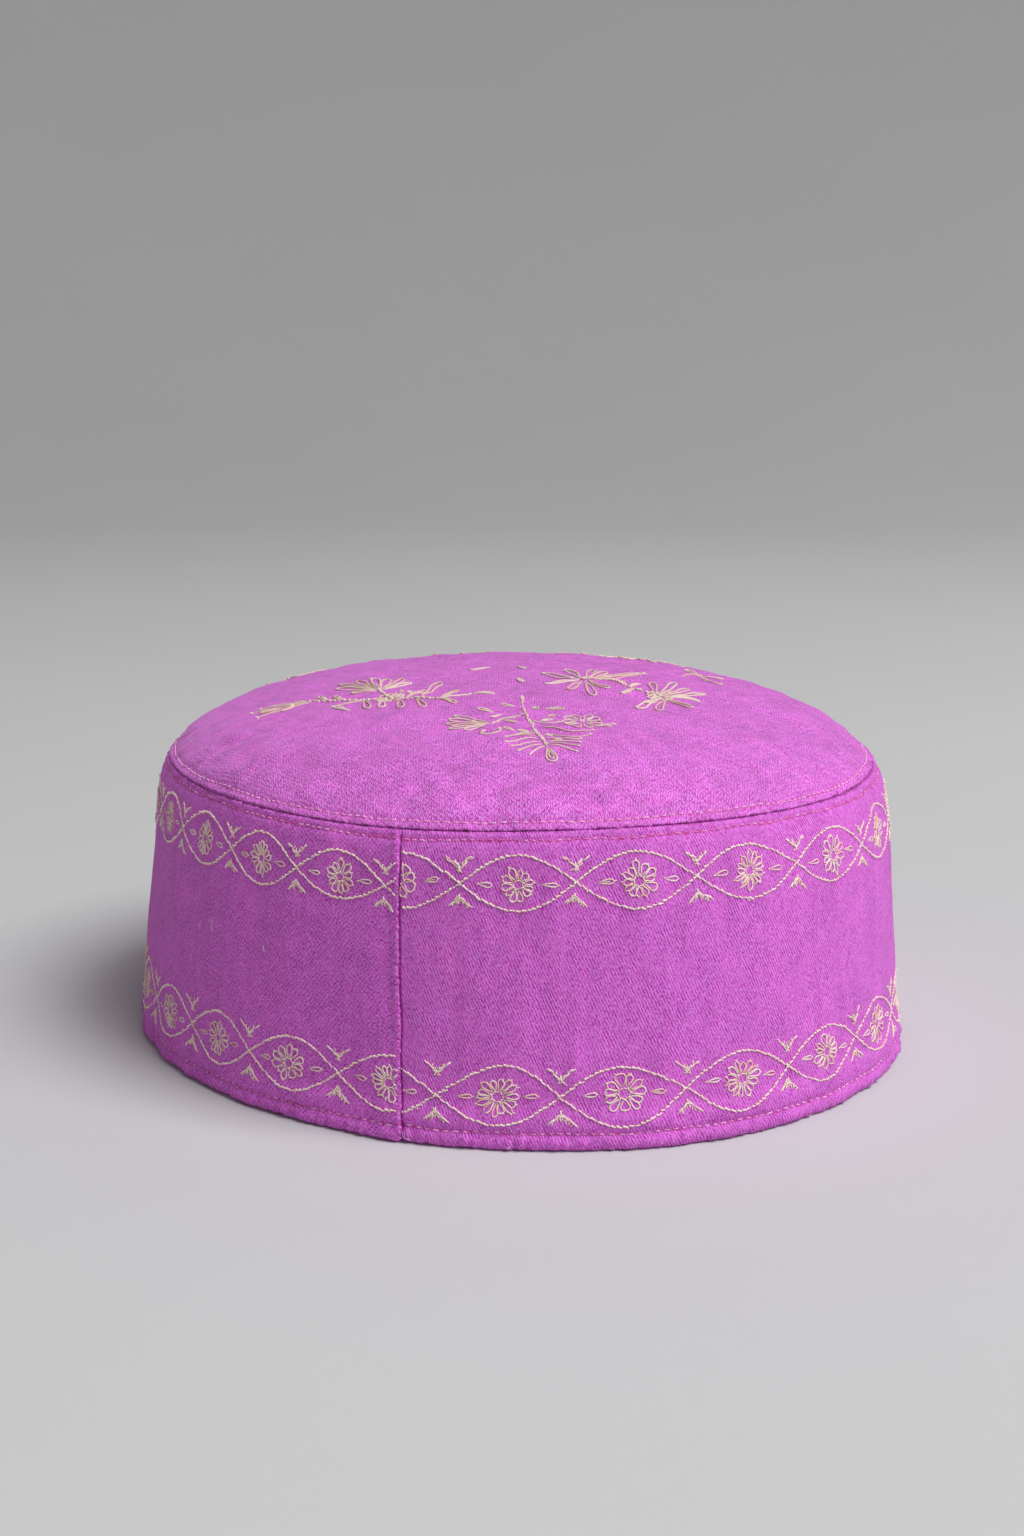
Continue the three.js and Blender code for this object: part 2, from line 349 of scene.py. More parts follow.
CROWN_EDGE_REACH = 0.38


def crown_rows():
    """The crown's section from the middle of the outside, round the folded edge, to the middle inside."""
    last = float(CROWN_REACH[-1])
    wide = np.arange(last - 1.2, 9.0, -2.0)
    close = np.arange(9.0, CROWN_EDGE_REACH + 0.2, -0.45)
    outside = [(reach, 0.0, 0.0, 0.0) for reach in np.concatenate([wide, close])]
    edge = []
    for t in np.linspace(0, 1, 7):
        bend = t * math.pi / 2
        edge.append((CROWN_EDGE_REACH, 0.0, 0.5 * (1 - math.cos(bend)), 0.5 * math.sin(bend)))
    under = [(CROWN_EDGE_REACH, 0.0, 2.6, 0.5)]
    allowance = [(reach, CROWN_CLOTH + ALLOWANCE_CLOTH, 0.0, 0.0) for reach in (4.0, 5.5, 7.2)]
    inner = [(reach, CROWN_CLOTH, 0.0, 0.0) for reach in np.arange(7.5, last - 1.2, 8.0)]
    return outside + edge + under + allowance + inner


# Meshes


def new_object(name, mesh, material):
    mesh.materials.append(material)
    made = bpy.data.objects.new(name, mesh)
    bpy.context.scene.collection.objects.link(made)
    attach(made, "root")
    return made


def mesh_from(name, points, faces, counts):
    """A smooth mesh from points in millimetres, and faces given as one list of corners and their counts."""
    mesh = bpy.data.meshes.new(name)
    mesh.vertices.add(len(points))
    mesh.vertices.foreach_set("co", (np.asarray(points) * MM).astype(np.float32).ravel())
    mesh.loops.add(len(faces))
    mesh.loops.foreach_set("vertex_index", np.asarray(faces, np.int32))
    mesh.polygons.add(len(counts))
    starts = np.concatenate([[0], np.cumsum(counts)[:-1]])
    mesh.polygons.foreach_set("loop_start", starts.astype(np.int32))
    mesh.polygons.foreach_set("loop_total", np.asarray(counts, np.int32))
    mesh.update(calc_edges=True)
    mesh.polygons.foreach_set("use_smooth", np.ones(len(counts), bool))
    return mesh


def add_uv(mesh, name, values):
    layer = mesh.uv_layers.new(name=name, do_init=False)
    layer.uv.foreach_set("vector", np.asarray(values, np.float32).ravel())


def quads_between(rows, columns, close_rows):
    """Corners of the quads of a grid whose columns close on themselves: index, row and column of each."""
    row = np.arange(rows if close_rows else rows - 1)
    column = np.arange(columns)
    r, c = [x.ravel() for x in np.meshgrid(row, column, indexing="ij")]
    corner_rows = np.stack([r, r, r + 1, r + 1], 1)
    corner_columns = np.stack([c, c + 1, c + 1, c], 1)
    index = (corner_rows % rows) * columns + corner_columns % columns
    return index, corner_rows, corner_columns


def running_lengths(rows):
    """The length along a section of the band at each of its rows."""
    section = np.array([(height, inset) for height, inset, side in rows])
    return np.concatenate([[0], np.cumsum(np.hypot(*np.diff(section, axis=0).T))])


def make_band(material):
    rows = band_rows()
    turns = band_turns()
    points = np.stack([band_point(turns, *row) for row in rows])
    index, corner_rows, corner_columns = quads_between(len(rows), len(turns), True)
    mesh = mesh_from("band_cloth", points.reshape(-1, 3), index.ravel(), np.full(len(index), 4))
    lengths = running_lengths(rows + rows[:1])
    arcs = arc_at(turns + LAP_ANGLE, MIDDLE_HALF_WIDTH)
    arcs = np.append(arcs, arcs[-1] + 0.3)
    up = lengths[corner_rows]
    across = arcs[corner_columns]
    add_uv(mesh, "Cloth", np.stack([across, up], -1).reshape(-1, 2))
    share = np.stack([(across - arcs[0]) / np.ptp(arcs), up / lengths[-1]], -1)
    add_uv(mesh, "OFBake", share.reshape(-1, 2))
    return new_object("band_cloth", mesh, material)


def make_crown(material):
    """The crown. Its Cloth map is the oval laid flat, so flat holds how far out each row then lies."""
    rows = crown_rows()
    count = CROWN_COLUMNS
    angles = np.linspace(-math.pi, math.pi, count, endpoint=False)
    rings = np.stack([crown_point(angles, *row) for row in rows])
    index, corner_rows, corner_columns = quads_between(len(rows), count, False)
    index = index[:, ::-1]
    corner_rows, corner_columns = corner_rows[:, ::-1], corner_columns[:, ::-1]
    last = float(CROWN_REACH[-1])
    top = crown_point(np.array([0.0]), last, 0.0)[0]
    under = crown_point(np.array([0.0]), last, CROWN_CLOTH)[0]
    points = np.vstack([rings.reshape(-1, 3), top, under])
    n = len(points)
    ring = np.arange(count)
    following = (ring + 1) % count
    first = np.stack([np.full(count, n - 2), ring, following], 1)
    start = (len(rows) - 1) * count
    final = np.stack([np.full(count, n - 1), start + following, start + ring], 1)
    faces = np.concatenate([index.ravel(), first.ravel(), final.ravel()])
    sizes = np.concatenate([np.full(len(index), 4), np.full(2 * count, 3)])
    mesh = mesh_from("crown_cloth", points, faces, sizes)
    flat = np.array([last - reach + drop_x * 0.5 + drop_z for reach, depth, drop_x, drop_z in rows])
    r = np.concatenate([flat[corner_rows].ravel(), *[[0, flat[k], flat[k]] * count for k in (0, -1)]])
    a = np.concatenate([
        angles[0] + corner_columns.ravel() * TURN / count,
        np.stack([angles, angles, angles + TURN / count], 1).ravel(),
        np.stack([angles, angles + TURN / count, angles], 1).ravel(),
    ])
    plan = np.stack([r * np.sin(a), -r * OVAL_RATIO * np.cos(a)], -1)
    add_uv(mesh, "Cloth", plan)
    return new_object("crown_cloth", mesh, material)


def fold_puff(height):
    """How far the lapped edge puffs out between its stitches, from 0 to 1."""
    uneven = np.clip(0.75 + 0.3 * fold_lumps(0.0, height), 0.2, 1.2)
    return np.abs(np.sin(height * math.pi / LAP_PITCH)) ** 0.7 * uneven


def make_lap_fold(material):
    """The folded edge of the band's lapped end, puffed between its stitches, as one closed strip."""
    heights = np.arange(0.9, SEAM_HEIGHT - 0.7, 0.2)
    puff = fold_puff(heights)
    inset = outside_inset(heights)
    level = 1 - 0.5 * hump(heights - heights[0], 0.8) - 0.5 * hump(heights - heights[-1], 0.8)
    radius = 0.29
    top = (LAP_STEP + 0.27 + 0.12 * puff) * level
    nose = -0.08 + 0.45 * puff - radius
    section = []
    for left, above in ((1.9, -0.09), (1.5, 0.0), (1.15, 0.035), (0.8, 0.05)):
        rise = LAP_STEP + 0.22 * hump(left - 0.6, 0.7) + above + 0.1 * puff * hump(left - 0.5, 0.5)
        section.append((0 * puff - left, rise * level))
    for degrees in (90, 55, 25, -5, -35, -65, -90):
        bend = math.radians(degrees)
        section.append((nose + radius * math.cos(bend), top - radius + radius * math.sin(bend)))
    section += [(0 * puff - 0.8, 0 * puff + 0.1), (0 * puff - 1.9, 0 * puff + 0.1)]
    count = len(section)
    rings = [
        band_point(TURN + right / MIDDLE_HALF_WIDTH, heights, inset - rise, lapped=False)
        for right, rise in section
    ]
    points = np.stack(rings, 1)
    index, corner_rows, corner_columns = quads_between(len(heights), count, False)
    corner = np.arange(count)
    faces = np.concatenate([index.ravel(), corner, (len(heights) - 1) * count + corner[::-1]])
    sizes = np.concatenate([np.full(len(index), 4), [count, count]])
    mesh = mesh_from("lap_fold", points.reshape(-1, 3), faces, sizes)
    end_arc = float(arc_at(TURN + LAP_ANGLE, MIDDLE_HALF_WIDTH))
    across = end_arc + np.array([float(np.mean(right)) for right, rise in section] + [-1.9])
    side = np.stack([across[corner_columns], heights[corner_rows] + HEM_PUFF], -1).reshape(-1, 2)
    caps = np.tile(side[:1], (2 * count, 1))
    add_uv(mesh, "Cloth", np.vstack([side, caps]))
    return new_object("lap_fold", mesh, material)


# Threads laid on the cloth


def band_surface(arc_mm, height, reference):
    """Points of the band's outside, from an arc length measured at a reference half-width, and a height."""
    angle = angle_at(arc_mm, reference)
    turn = (angle - lap_edge(height)) % TURN
    slant = LAP_SLANT * (1 - height / SEAM_HEIGHT)
    near = np.minimum(turn, TURN - turn)
    turn = np.clip(turn + slant * (1 - hump(near, 2 * LAP_REACH)), 1e-5, TURN - 1e-5)
    return band_point(turn, height, outside_inset(height), "out")


def crown_surface(x, y):
    angle = np.arctan2(x, -y / OVAL_RATIO)
    half = np.clip(np.hypot(x, y / OVAL_RATIO), 0.05, SEAM_HALF_WIDTH)
    return crown_point(angle, reach_at(half))


def crown_rim_surface(arc_mm, reach):
    return crown_point(angle_at(arc_mm, SEAM_HALF_WIDTH), reach)


def unit(vectors):
    return vectors / np.maximum(np.linalg.norm(vectors, axis=-1, keepdims=True), 1e-9)


def tubes(name, centre, side, up, radius, counts, sides):
    """Closed tubes round centre lines that follow each other in one array. counts has each line's points.

    Gives the mesh, the points that have a next one on their line, and where the lines start and end.
    """
    starts = np.concatenate([[0], np.cumsum(counts)[:-1]])
    ends = starts + counts - 1
    j = np.arange(sides)
    around = j * TURN / sides
    ring = side[:, None] * np.cos(around)[None, :, None] - up[:, None] * np.sin(around)[None, :, None]
    points = (centre[:, None] + ring * radius[:, None, None]).reshape(-1, 3)
    inner = np.setdiff1d(np.arange(len(centre)), ends)
    a = inner[:, None] * sides + j
    b = inner[:, None] * sides + (j + 1) % sides
    quads = np.stack([a, b, b + sides, a + sides], -1).reshape(-1, 4)
    first = (starts[:, None] * sides + j[::-1]).ravel()
    final = (ends[:, None] * sides + j).ravel()
    faces = np.concatenate([quads.ravel(), first, final])
    sizes = np.concatenate([np.full(len(quads), 4), np.full(2 * len(counts), sides)])
    return mesh_from(name, points, faces, sizes), inner, starts, ends


class Threads:
    """Collects strands given on a surface, and makes one mesh of closed tubes that lie on it."""

    sides = 5
    wide = 1.15

    def __init__(self, surface):
        self.surface = surface
        self.strands = []

    def add(self, path, lift, radius, tint):
        """A strand: its points on the surface, how far each lies over it, its radius and its shade."""
        count = len(path)
        lift, radius = np.broadcast_to(lift, count), np.broadcast_to(radius, count)
        self.strands.append((path, lift, radius, np.full(count, tint)))

    def mesh(self, name):
        counts = np.array([len(strand[0]) for strand in self.strands])
        path, lift, radius, tint = [np.concatenate(parts) for parts in zip(*self.strands)]
        step = 0.05
        here = self.surface(path[:, 0], path[:, 1])
        along_a = self.surface(path[:, 0] + step, path[:, 1]) - here
        along_b = self.surface(path[:, 0], path[:, 1] + step) - here
        normal = unit(np.cross(along_a, along_b))
        centre = here + normal * lift[:, None]
        starts = np.concatenate([[0], np.cumsum(counts)[:-1]])
        before, after = np.arange(len(path)) - 1, np.arange(len(path)) + 1
        before[starts] = starts
        after[starts + counts - 1] = starts + counts - 1
        tangent = unit(centre[after] - centre[before])
        side = unit(np.cross(tangent, normal))
        up = unit(np.cross(side, tangent))
        k = self.sides
        mesh, inner, starts, ends = tubes(name, centre, side * self.wide, up, radius, counts, k)
        run = np.cumsum(np.linalg.norm(centre - centre[before], axis=1))
        run -= np.repeat(run[starts], counts)
        j = np.arange(k)
        around = np.broadcast_to(np.stack([j, j + 1, j + 1, j], -1) / k, (len(inner), k, 4)).reshape(-1)
        along = np.stack([run[inner], run[inner], run[inner + 1], run[inner + 1]], -1)
        along = np.repeat(along[:, None], k, axis=1).reshape(-1)
        along = np.concatenate([along, np.repeat(run[starts], k), np.repeat(run[ends], k)])
        around = np.concatenate([around, np.tile(j / k, 2 * len(counts))])
        add_uv(mesh, "Thread", np.stack([along, around], -1))
        attribute = mesh.attributes.new("tint", "FLOAT", "POINT")
        attribute.data.foreach_set("value", np.repeat(tint, k).astype(np.float32))
        return mesh


def spaced(path, count):
    """The path with a count of points at even distances."""
    path = np.asarray(path, float)
    run = np.concatenate([[0], np.cumsum(np.hypot(*np.diff(path, axis=0).T))])
    at = np.linspace(0, run[-1], count)
    return np.stack([np.interp(at, run, path[:, i]) for i in range(path.shape[1])], -1)


def smooth_path(points, count):
    """A smooth curve through a few points."""
    points = np.asarray(points, float)
    if len(points) < 3:
        return spaced(points, count)
    padded = np.vstack([2 * points[0] - points[1], points, 2 * points[-1] - points[-2]])
    t = np.linspace(0, 1, 12, endpoint=False)[:, None]
    curve = []
    for p0, p1, p2, p3 in zip(padded, padded[1:], padded[2:], padded[3:]):
        square = (2 * p0 - 5 * p1 + 4 * p2 - p3) * t**2
        cube = (3 * p1 - p0 - 3 * p2 + p3) * t**3
        curve.append(0.5 * (2 * p1 + (p2 - p0) * t + square + cube))
    curve.append(points[-1:])
    return spaced(np.vstack(curve), count)


class Needle:
    """Sews with a given thread, seeded, onto a set of threads. keep says which points are on this cloth."""

    def __init__(self, threads, seed, keep=None, thick=1.0):
        self.threads = threads
        self.rng = np.random.default_rng(seed)
        self.keep = keep
        self.thick = thick

    def pieces(self, path):
        """The stretches of a path that are on this piece of cloth."""
        if self.keep is None:
            return [path]
        inside = self.keep(path[:, 0], path[:, 1])
        if inside.all():
            return [path]
        cuts = np.flatnonzero(np.diff(inside)) + 1
        stretches = zip(np.split(path, cuts), np.split(inside, cuts))
        return [piece for piece, good in stretches if good[0] and len(piece) > 2]

    def stitch(self, start, end, radius=0.14, lift=0.11, bow=0.0, tint=None):
        """One straight stitch that rises out of the cloth, lies on it and dives back in."""
        start, end = np.asarray(start, float), np.asarray(end, float)
        t = np.linspace(0, 1, 5)[:, None]
        along = end - start
        across = np.array([-along[1], along[0]])
        path = start + along * t + across * bow * np.sin(t * math.pi)
        for piece in self.pieces(path):
            n = len(piece)
            arch = np.sin(np.linspace(0, math.pi, n)) ** 0.6
            thick = self.thick * radius * (0.4 + 0.6 * arch) * self.rng.uniform(0.88, 1.12)
            shade = self.rng.uniform(0, 1) if tint is None else tint
            self.threads.add(piece, lift * (arch * 1.5 - 0.5), thick, shade)

    def line(self, path, radius=0.11, lift=0.09, count=11, tint=None):
        """One thread that follows a path, its two ends in the cloth."""
        path = smooth_path(path, count)
        for piece in self.pieces(path):
            n = len(piece)
            arch = np.clip(np.sin(np.linspace(0, math.pi, n)) * 2.2, 0, 1)
            uneven = 1 + 0.12 * np.sin(np.linspace(0, n * 1.7, n) + self.rng.uniform(0, TURN))
            thick = self.thick * radius * (0.4 + 0.6 * arch) * uneven
            shade = self.rng.uniform(0, 1) if tint is None else tint
            self.threads.add(piece, lift * (arch * 1.4 - 0.4), thick, shade)

    def rope(self, path, stitch=1.2, slide=0.11, radius=0.155, lift=0.12, smoother=0.0):
        """Stem stitch: short slanting stitches that overlap. smoother evens them where the path falls."""
        path = spaced(path, max(8, int(np.hypot(*np.diff(path, axis=0).T).sum() * 6)))
        run = np.concatenate([[0], np.cumsum(np.hypot(*np.diff(path, axis=0).T))])
        at = 0.0
        while at < run[-1] - 0.3:
            here = np.array([np.interp([at, at + 0.5], run, path[:, k]) for k in (0, 1)])
            falling = smoother * float(np.clip((here[1, 0] - here[1, 1]) * 5, 0, 1))
            length = stitch * self.rng.uniform(0.78, 1.22) * (1 + 0.5 * falling)
            back = self.rng.uniform(-0.02, 0.16)
            s = np.array([max(0.0, at - back), min(run[-1], at + length)])
            ends = np.stack([np.interp(s, run, path[:, 0]), np.interp(s, run, path[:, 1])], -1)
            along = ends[1] - ends[0]
            across = np.array([-along[1], along[0]]) / max(np.hypot(*along), 1e-6)
            jitter = self.rng.normal(0, 0.05, 2)
            ends[0] += across * (slide * (1 - 0.6 * falling) + jitter[0])
            ends[1] -= across * (slide * (1 - 0.6 * falling) - jitter[1])
            tint = self.rng.uniform(0.1 + 0.4 * falling, 1)
            thick = radius * self.rng.uniform(0.85, 1.15)
            self.stitch(ends[0], ends[1], thick, lift, self.rng.normal(0, 0.05), tint)
            if self.rng.uniform() < 0.75 - 0.3 * falling:
                tip = ends[0] + along / max(np.hypot(*along), 1e-6) * 0.4
                root = ends[0] + across * 0.05
                self.stitch(root, tip, radius * 1.3, lift * 1.6, tint=self.rng.uniform(0.4, 1))
            if self.rng.uniform() < 0.3 * smoother * (1 - 0.7 * falling):
                spur = across * self.rng.choice([-1, 1, 1]) * self.rng.uniform(0.3, 0.6)
                self.stitch(ends[1] - along * 0.15, ends[1] + spur - along * 0.05, 0.11, 0.12)
            at += length


def turned(points, angle, centre=(0.0, 0.0), scale=1.0):
    """Points turned about zero, scaled and moved to a centre."""
    c, s = math.cos(angle), math.sin(angle)
    return np.asarray(points, float) * scale @ np.array([[c, s], [-s, c]]) + np.asarray(centre)


def loop_shape(length, width, start=0.0, tip=0.8, count=15):
    """A petal's outline along +x: out along one side, round the tip and back. tip below one is pointed."""
    t = np.linspace(-1, 1, count)
    x = start + (length - start) * (1 - np.abs(t) ** 1.7)
    return np.stack([x, width / 2 * np.sin(math.pi * np.sign(t) * np.abs(t) ** tip)], -1)


def petal_stitches(needle, length, inner, width, angle, flat, centre, rounded):
    """One petal: straight stitches up one side, over the tip and down the other, or a rounder loop."""
    rng = needle.rng
    place = np.asarray(centre, float)

    def put(points):
        points = turned(points, angle)
        points[:, 1] *= flat
        return points + place

    if rounded or rng.uniform() < 0.45:
        petal = loop_shape(length, width * 1.1, inner)
        petal[:, 1] += rng.normal(0, 0.03, len(petal))
        needle.line(put(petal), radius=0.12, count=12)
    else:
        tip = rng.normal(0, 0.12)
        shoulder = rng.uniform(0.6, 0.78)
        left = [[inner, 0.1], [inner + (length - inner) * shoulder, width / 2], [length, tip]]
        right = [[inner, -0.1], [inner + (length - inner) * shoulder, -width / 2], [length, tip]]
        for side in (left, right):
            needle.line(put(side), radius=0.12, count=7)
    for chance in (0.7, 0.3):
        if rng.uniform() < chance:
            at = rng.uniform(-0.25, 0.25) * width
            tip = [length + rng.uniform(0.15, 0.5), at * 1.5 + rng.normal(0, 0.12)]
            needle.stitch(*put([[length * 0.93, at], tip]), radius=0.12, lift=0.11)


def rosette(needle, centre, size, flat, fat=False):
    """A flower of loop petals round an open middle. A fat one has fewer and rounder petals."""
    rng = needle.rng
    count = 9 if fat else int(rng.choice([11, 12, 12, 13, 14]))
    turn = rng.uniform(0, TURN)
    inner = 0.29 * size
    shares = rng.uniform(0.75, 1.3, count)
    starts = np.concatenate([[0], np.cumsum(shares)[:-1]]) / shares.sum()
    for start, share in zip(starts, shares / shares.sum()):
        angle = turn + (start + share / 2) * TURN + rng.normal(0, 0.05)
        length = size * rng.uniform(0.82, 1.08)
        width = TURN * size * 0.66 * share * rng.uniform(0.85, 1.02)
        petal_stitches(needle, length, inner * rng.uniform(0.9, 1.1), width, angle, flat, centre, fat)
    sides = 8
    corner = turn + np.arange(sides + 1) * TURN / sides
    reach = inner * rng.uniform(0.86, 1.02, sides + 1)
    reach[-1] = reach[0]
    ring = np.stack([np.cos(corner) * reach, np.sin(corner) * reach * flat], -1) + centre
    for a, b in zip(ring, ring[1:]):
        needle.stitch(a, b, radius=0.105, lift=0.09)
        if rng.uniform() < 0.6:
            out = unit(a - centre)
            needle.stitch(a - out * 0.1, a + out * 0.35, radius=0.15, lift=0.15, tint=rng.uniform(0.5, 1))


def seed_loop(needle, centre, length, width, angle):
    """A small almond loop with a tail, beside a rosette."""
    body = loop_shape(length / 2, width, -length / 2, tip=0.95, count=13)
    needle.line(turned(body, angle, centre), count=11)
    if needle.rng.uniform() < 0.35:
        inner = turned([[-length * 0.3, 0.02], [length * 0.25, -0.02]], angle, centre)
        needle.stitch(*inner, radius=0.09, lift=0.07)
    way = needle.rng.choice([-1, 1])
    reach = way * length
    tail = turned([[reach * 0.4, 0], [reach * 0.62, needle.rng.normal(0, 0.12)]], angle, centre)
    needle.stitch(*tail, radius=0.11, lift=0.08)


# Strokes of the small sprigs by a crossing: x, y of start, x, y of end, in millimetres from the crossing.
# The first ones are the bold arms, and the rest the small spurs on them
SPRIG_ARMS = 6
SPRIG_ABOVE = [
    (-2.6, 4.75, -1.2, 3.8), (-1.55, 4.0, -0.1, 2.95), (2.45, 4.75, 1.25, 3.9), (1.45, 4.05, 0.1, 2.95),
    (0.05, 3.35, -0.05, 2.05), (-0.35, 3.15, 0.4, 2.75),
    (-1.0, 3.45, 0.1, 2.7), (1.0, 3.5, 0.1, 2.75), (-0.85, 3.6, -0.75, 4.25), (-0.25, 3.1, -0.2, 3.8),
    (0.55, 3.2, 0.6, 3.85), (1.15, 3.8, 1.0, 4.4), (-0.15, 2.6, -0.6, 2.2), (0.15, 2.6, 0.6, 2.15),
]
SPRIG_BELOW = [
    (0.05, -2.7, -1.15, -3.8), (-0.85, -3.6, -2.2, -4.75), (0.05, -2.7, 1.35, -3.8),
    (1.05, -3.6, 2.95, -5.1), (0.05, -2.2, 0.0, -3.3), (-0.3, -3.2, 0.45, -3.3),
    (-0.1, -3.1, -1.1, -4.05), (0.1, -3.1, 1.4, -4.1), (-0.6, -3.4, -0.75, -4.3), (-0.2, -3.2, -0.2, -4.2),
    (0.3, -3.3, 0.3, -4.1), (0.85, -3.7, 0.8, -4.4), (-1.35, -4.1, -1.55, -4.75), (1.5, -4.1, 1.3, -4.7),
    (2.0, -4.5, 1.8, -5.05),
]


def sprig(needle, strokes, crossing, scale):
    rng = needle.rng
    lean = rng.normal(0, 0.05)
    for i, (x0, y0, x1, y1) in enumerate(strokes):
        ends = turned([[x0, y0], [x1, y1]], lean, crossing, scale) + rng.normal(0, 0.09, (2, 2))
        if i < SPRIG_ARMS:
            needle.stitch(*ends, radius=0.135, lift=0.12, bow=rng.normal(0, 0.07), tint=rng.uniform(0.5, 1))
            twin = ends + rng.normal(0, 0.14, (2, 2))
            twin[1] = twin[0] * 0.35 + twin[1] * 0.65
            needle.stitch(*twin, radius=0.1, lift=0.14, tint=rng.uniform(0.2, 1))
        else:
            needle.stitch(*ends, radius=0.105, lift=0.11, bow=rng.normal(0, 0.06))
            if rng.uniform() < 0.5:
                needle.stitch(*(ends + rng.normal(0, 0.28, (2, 2))), radius=0.085, lift=0.1)


def sew_waves(needle, charted):
    """The two waves of a border, which cross at the charted crossings."""
    for side in (1, -1):
        wave = []
        for i, (a, b) in enumerate(zip(charted, charted[1:])):
            upper = side * (-1) ** i > 0
            swing, lean = (a[2], a[3]) if upper else (-a[4], a[5])
            t = np.linspace(0, 1, 40, endpoint=False)
            bump = np.sin(math.pi * (t + lean * np.sin(math.pi * t)))
            wave.append(np.stack([a[0] + (b[0] - a[0]) * t, a[1] + (b[1] - a[1]) * t + swing * bump], -1))
        wave.append([charted[-1][:2]])
        needle.rope(np.vstack(wave), stitch=1.15, smoother=0.6)


def sew_flowers(needle, charted, sizes):
    """A rosette and two seeds in each oval of a border, and sprigs over and under its crossings."""
    rng = needle.rng
    crossings = np.array([row[:2] for row in charted], float)
    for i, (a, b) in enumerate(zip(crossings, crossings[1:])):
        pitch = b[0] - a[0]
        middle = (a + b) / 2 + rng.normal(0, 0.25, 2)
        size = sizes["rosette"] * min(1.06, pitch / 24.5) * rng.uniform(0.97, 1.04)
        rosette(needle, middle, size, sizes["flat"], fat=i == 0)
        for way in (-1, 1):
            gap = pitch * 0.274 * rng.uniform(0.95, 1.05)
            at = middle + np.array([way * gap, rng.normal(0, 0.25)])
            length, width = 3.0 * rng.uniform(0.9, 1.12), 0.85 * rng.uniform(0.85, 1.2)
            seed_loop(needle, at, length, width, rng.normal(0, 0.08))
    for row, crossing in zip(charted, crossings):
        above = crossing + (0.0, sizes["sprig_lift"] + (1.3 if row in HIGH_SPRIGS else 0.0))
        sprig(needle, SPRIG_ABOVE, above, sizes["sprig"] * rng.uniform(0.9, 1.08))
        sprig(needle, SPRIG_BELOW, crossing, sizes["sprig"] * rng.uniform(0.9, 1.05))


# Crossings of each border that show from the front, charted: arc length from the front and height,
# then how far the upper arc to the next crossing swings and leans to the left, and the same of the lower arc
UPPER_LEFT = [
    (-133.4, 54.4, 5.5, 0.0, 5.6, 0.0), (-110.2, 54.2, 5.6, 0.0, 5.5, 0.0),
    (-88.5, 53.9, 5.6, 0.0, 4.2, 0.0), (-66.4, 52.9, 5.6, 0.0, 5.6, 0.0),
]
UPPER_RIGHT = [
    (-50.7, 54.3, 5.6, 0.0, 5.6, 0.0), (-27.5, 54.3, 5.6, 0.0, 5.6, 0.0), (-2.8, 54.2, 5.3, 0.05, 5.6, 0.0),
    (22.8, 53.7, 5.6, 0.0, 5.4, 0.03), (48.1, 53.2, 5.6, 0.0, 5.6, 0.0),
]
LOWER_LEFT = [
    (-151.8, 12.0, 5.8, -0.03, 5.6, 0.0), (-127.3, 12.7, 5.9, -0.03, 5.6, 0.0),
    (-104.3, 12.3, 5.9, -0.03, 5.6, 0.0), (-80.0, 12.2, 5.9, -0.03, 5.6, 0.0),
]
LOWER_RIGHT = [
    (-57.6, 10.8, 6.6, -0.06, 5.6, 0.0), (-32.4, 11.2, 5.6, 0.05, 6.5, 0.0),
    (-6.6, 12.0, 5.6, 0.0, 6.5, 0.0), (18.0, 12.5, 5.6, 0.0, 5.7, 0.0), (42.1, 13.3, 5.6, 0.0, 5.6, 0.0),
]
# Crossings whose upper sprig stands higher than the rest
HIGH_SPRIGS = [LOWER_RIGHT[0]]
BORDER_THREAD = 1.16


def all_crossings(left, right, sizes, reference, seed):
    """The charted crossings carried on round the back, and one more past each end of the strip."""
    rng = np.random.default_rng(seed)
    whole = float(arc_at(TURN, reference))
    start = right[-1][0]
    end = left[0][0] + whole
    count = int(round((end - start) / 24.4))
    inner = start + (end - start) * np.arange(1, count) / count + rng.normal(0, 0.5, count - 1)
    swing = sizes["swing"]
    back = []
    for arc in inner:
        upper, lower = swing * rng.uniform(0.95, 1.05, 2)
        leans = rng.normal(0, 0.04, 2)
        back.append((arc, sizes["height"] + rng.normal(0, 0.35), upper, leans[0], lower, leans[1]))
    before = [(right[0][0] - 24.2, right[0][1], swing, 0.0, swing, 0.0)]
    after = [(left[-1][0] + whole + 24.2, left[-1][1], swing, 0.0, swing, 0.0)]
    shifted = [(row[0] + whole, *row[1:]) for row in left]
    return before + right + back + shifted + after


def embroider_border(name, left, right, sizes, seed, material):
    reference = float(wall_half_width(sizes["height"]))

    def surface(arc, height):
        return band_surface(arc, height, reference)

    def on_strip(arc, height):
        start = arc_at(lap_edge(height), reference)
        whole = arc_at(TURN, reference)
        return (arc > start + 0.35) & (arc < start + whole - 0.25)

    waves, flowers = Threads(surface), Threads(surface)
    needle = Needle(waves, seed, on_strip, BORDER_THREAD)
    charted = all_crossings(left, right, sizes, reference, seed + 1)
    sew_waves(needle, charted)
    needle.threads = flowers
    sew_flowers(needle, charted, sizes)
    pieces = []
    for part, threads in (("waves", waves), ("flowers", flowers)):
        mesh = threads.mesh(f"{name}_{part}")
        pieces.append(new_object(mesh.name, mesh, material))
    return pieces
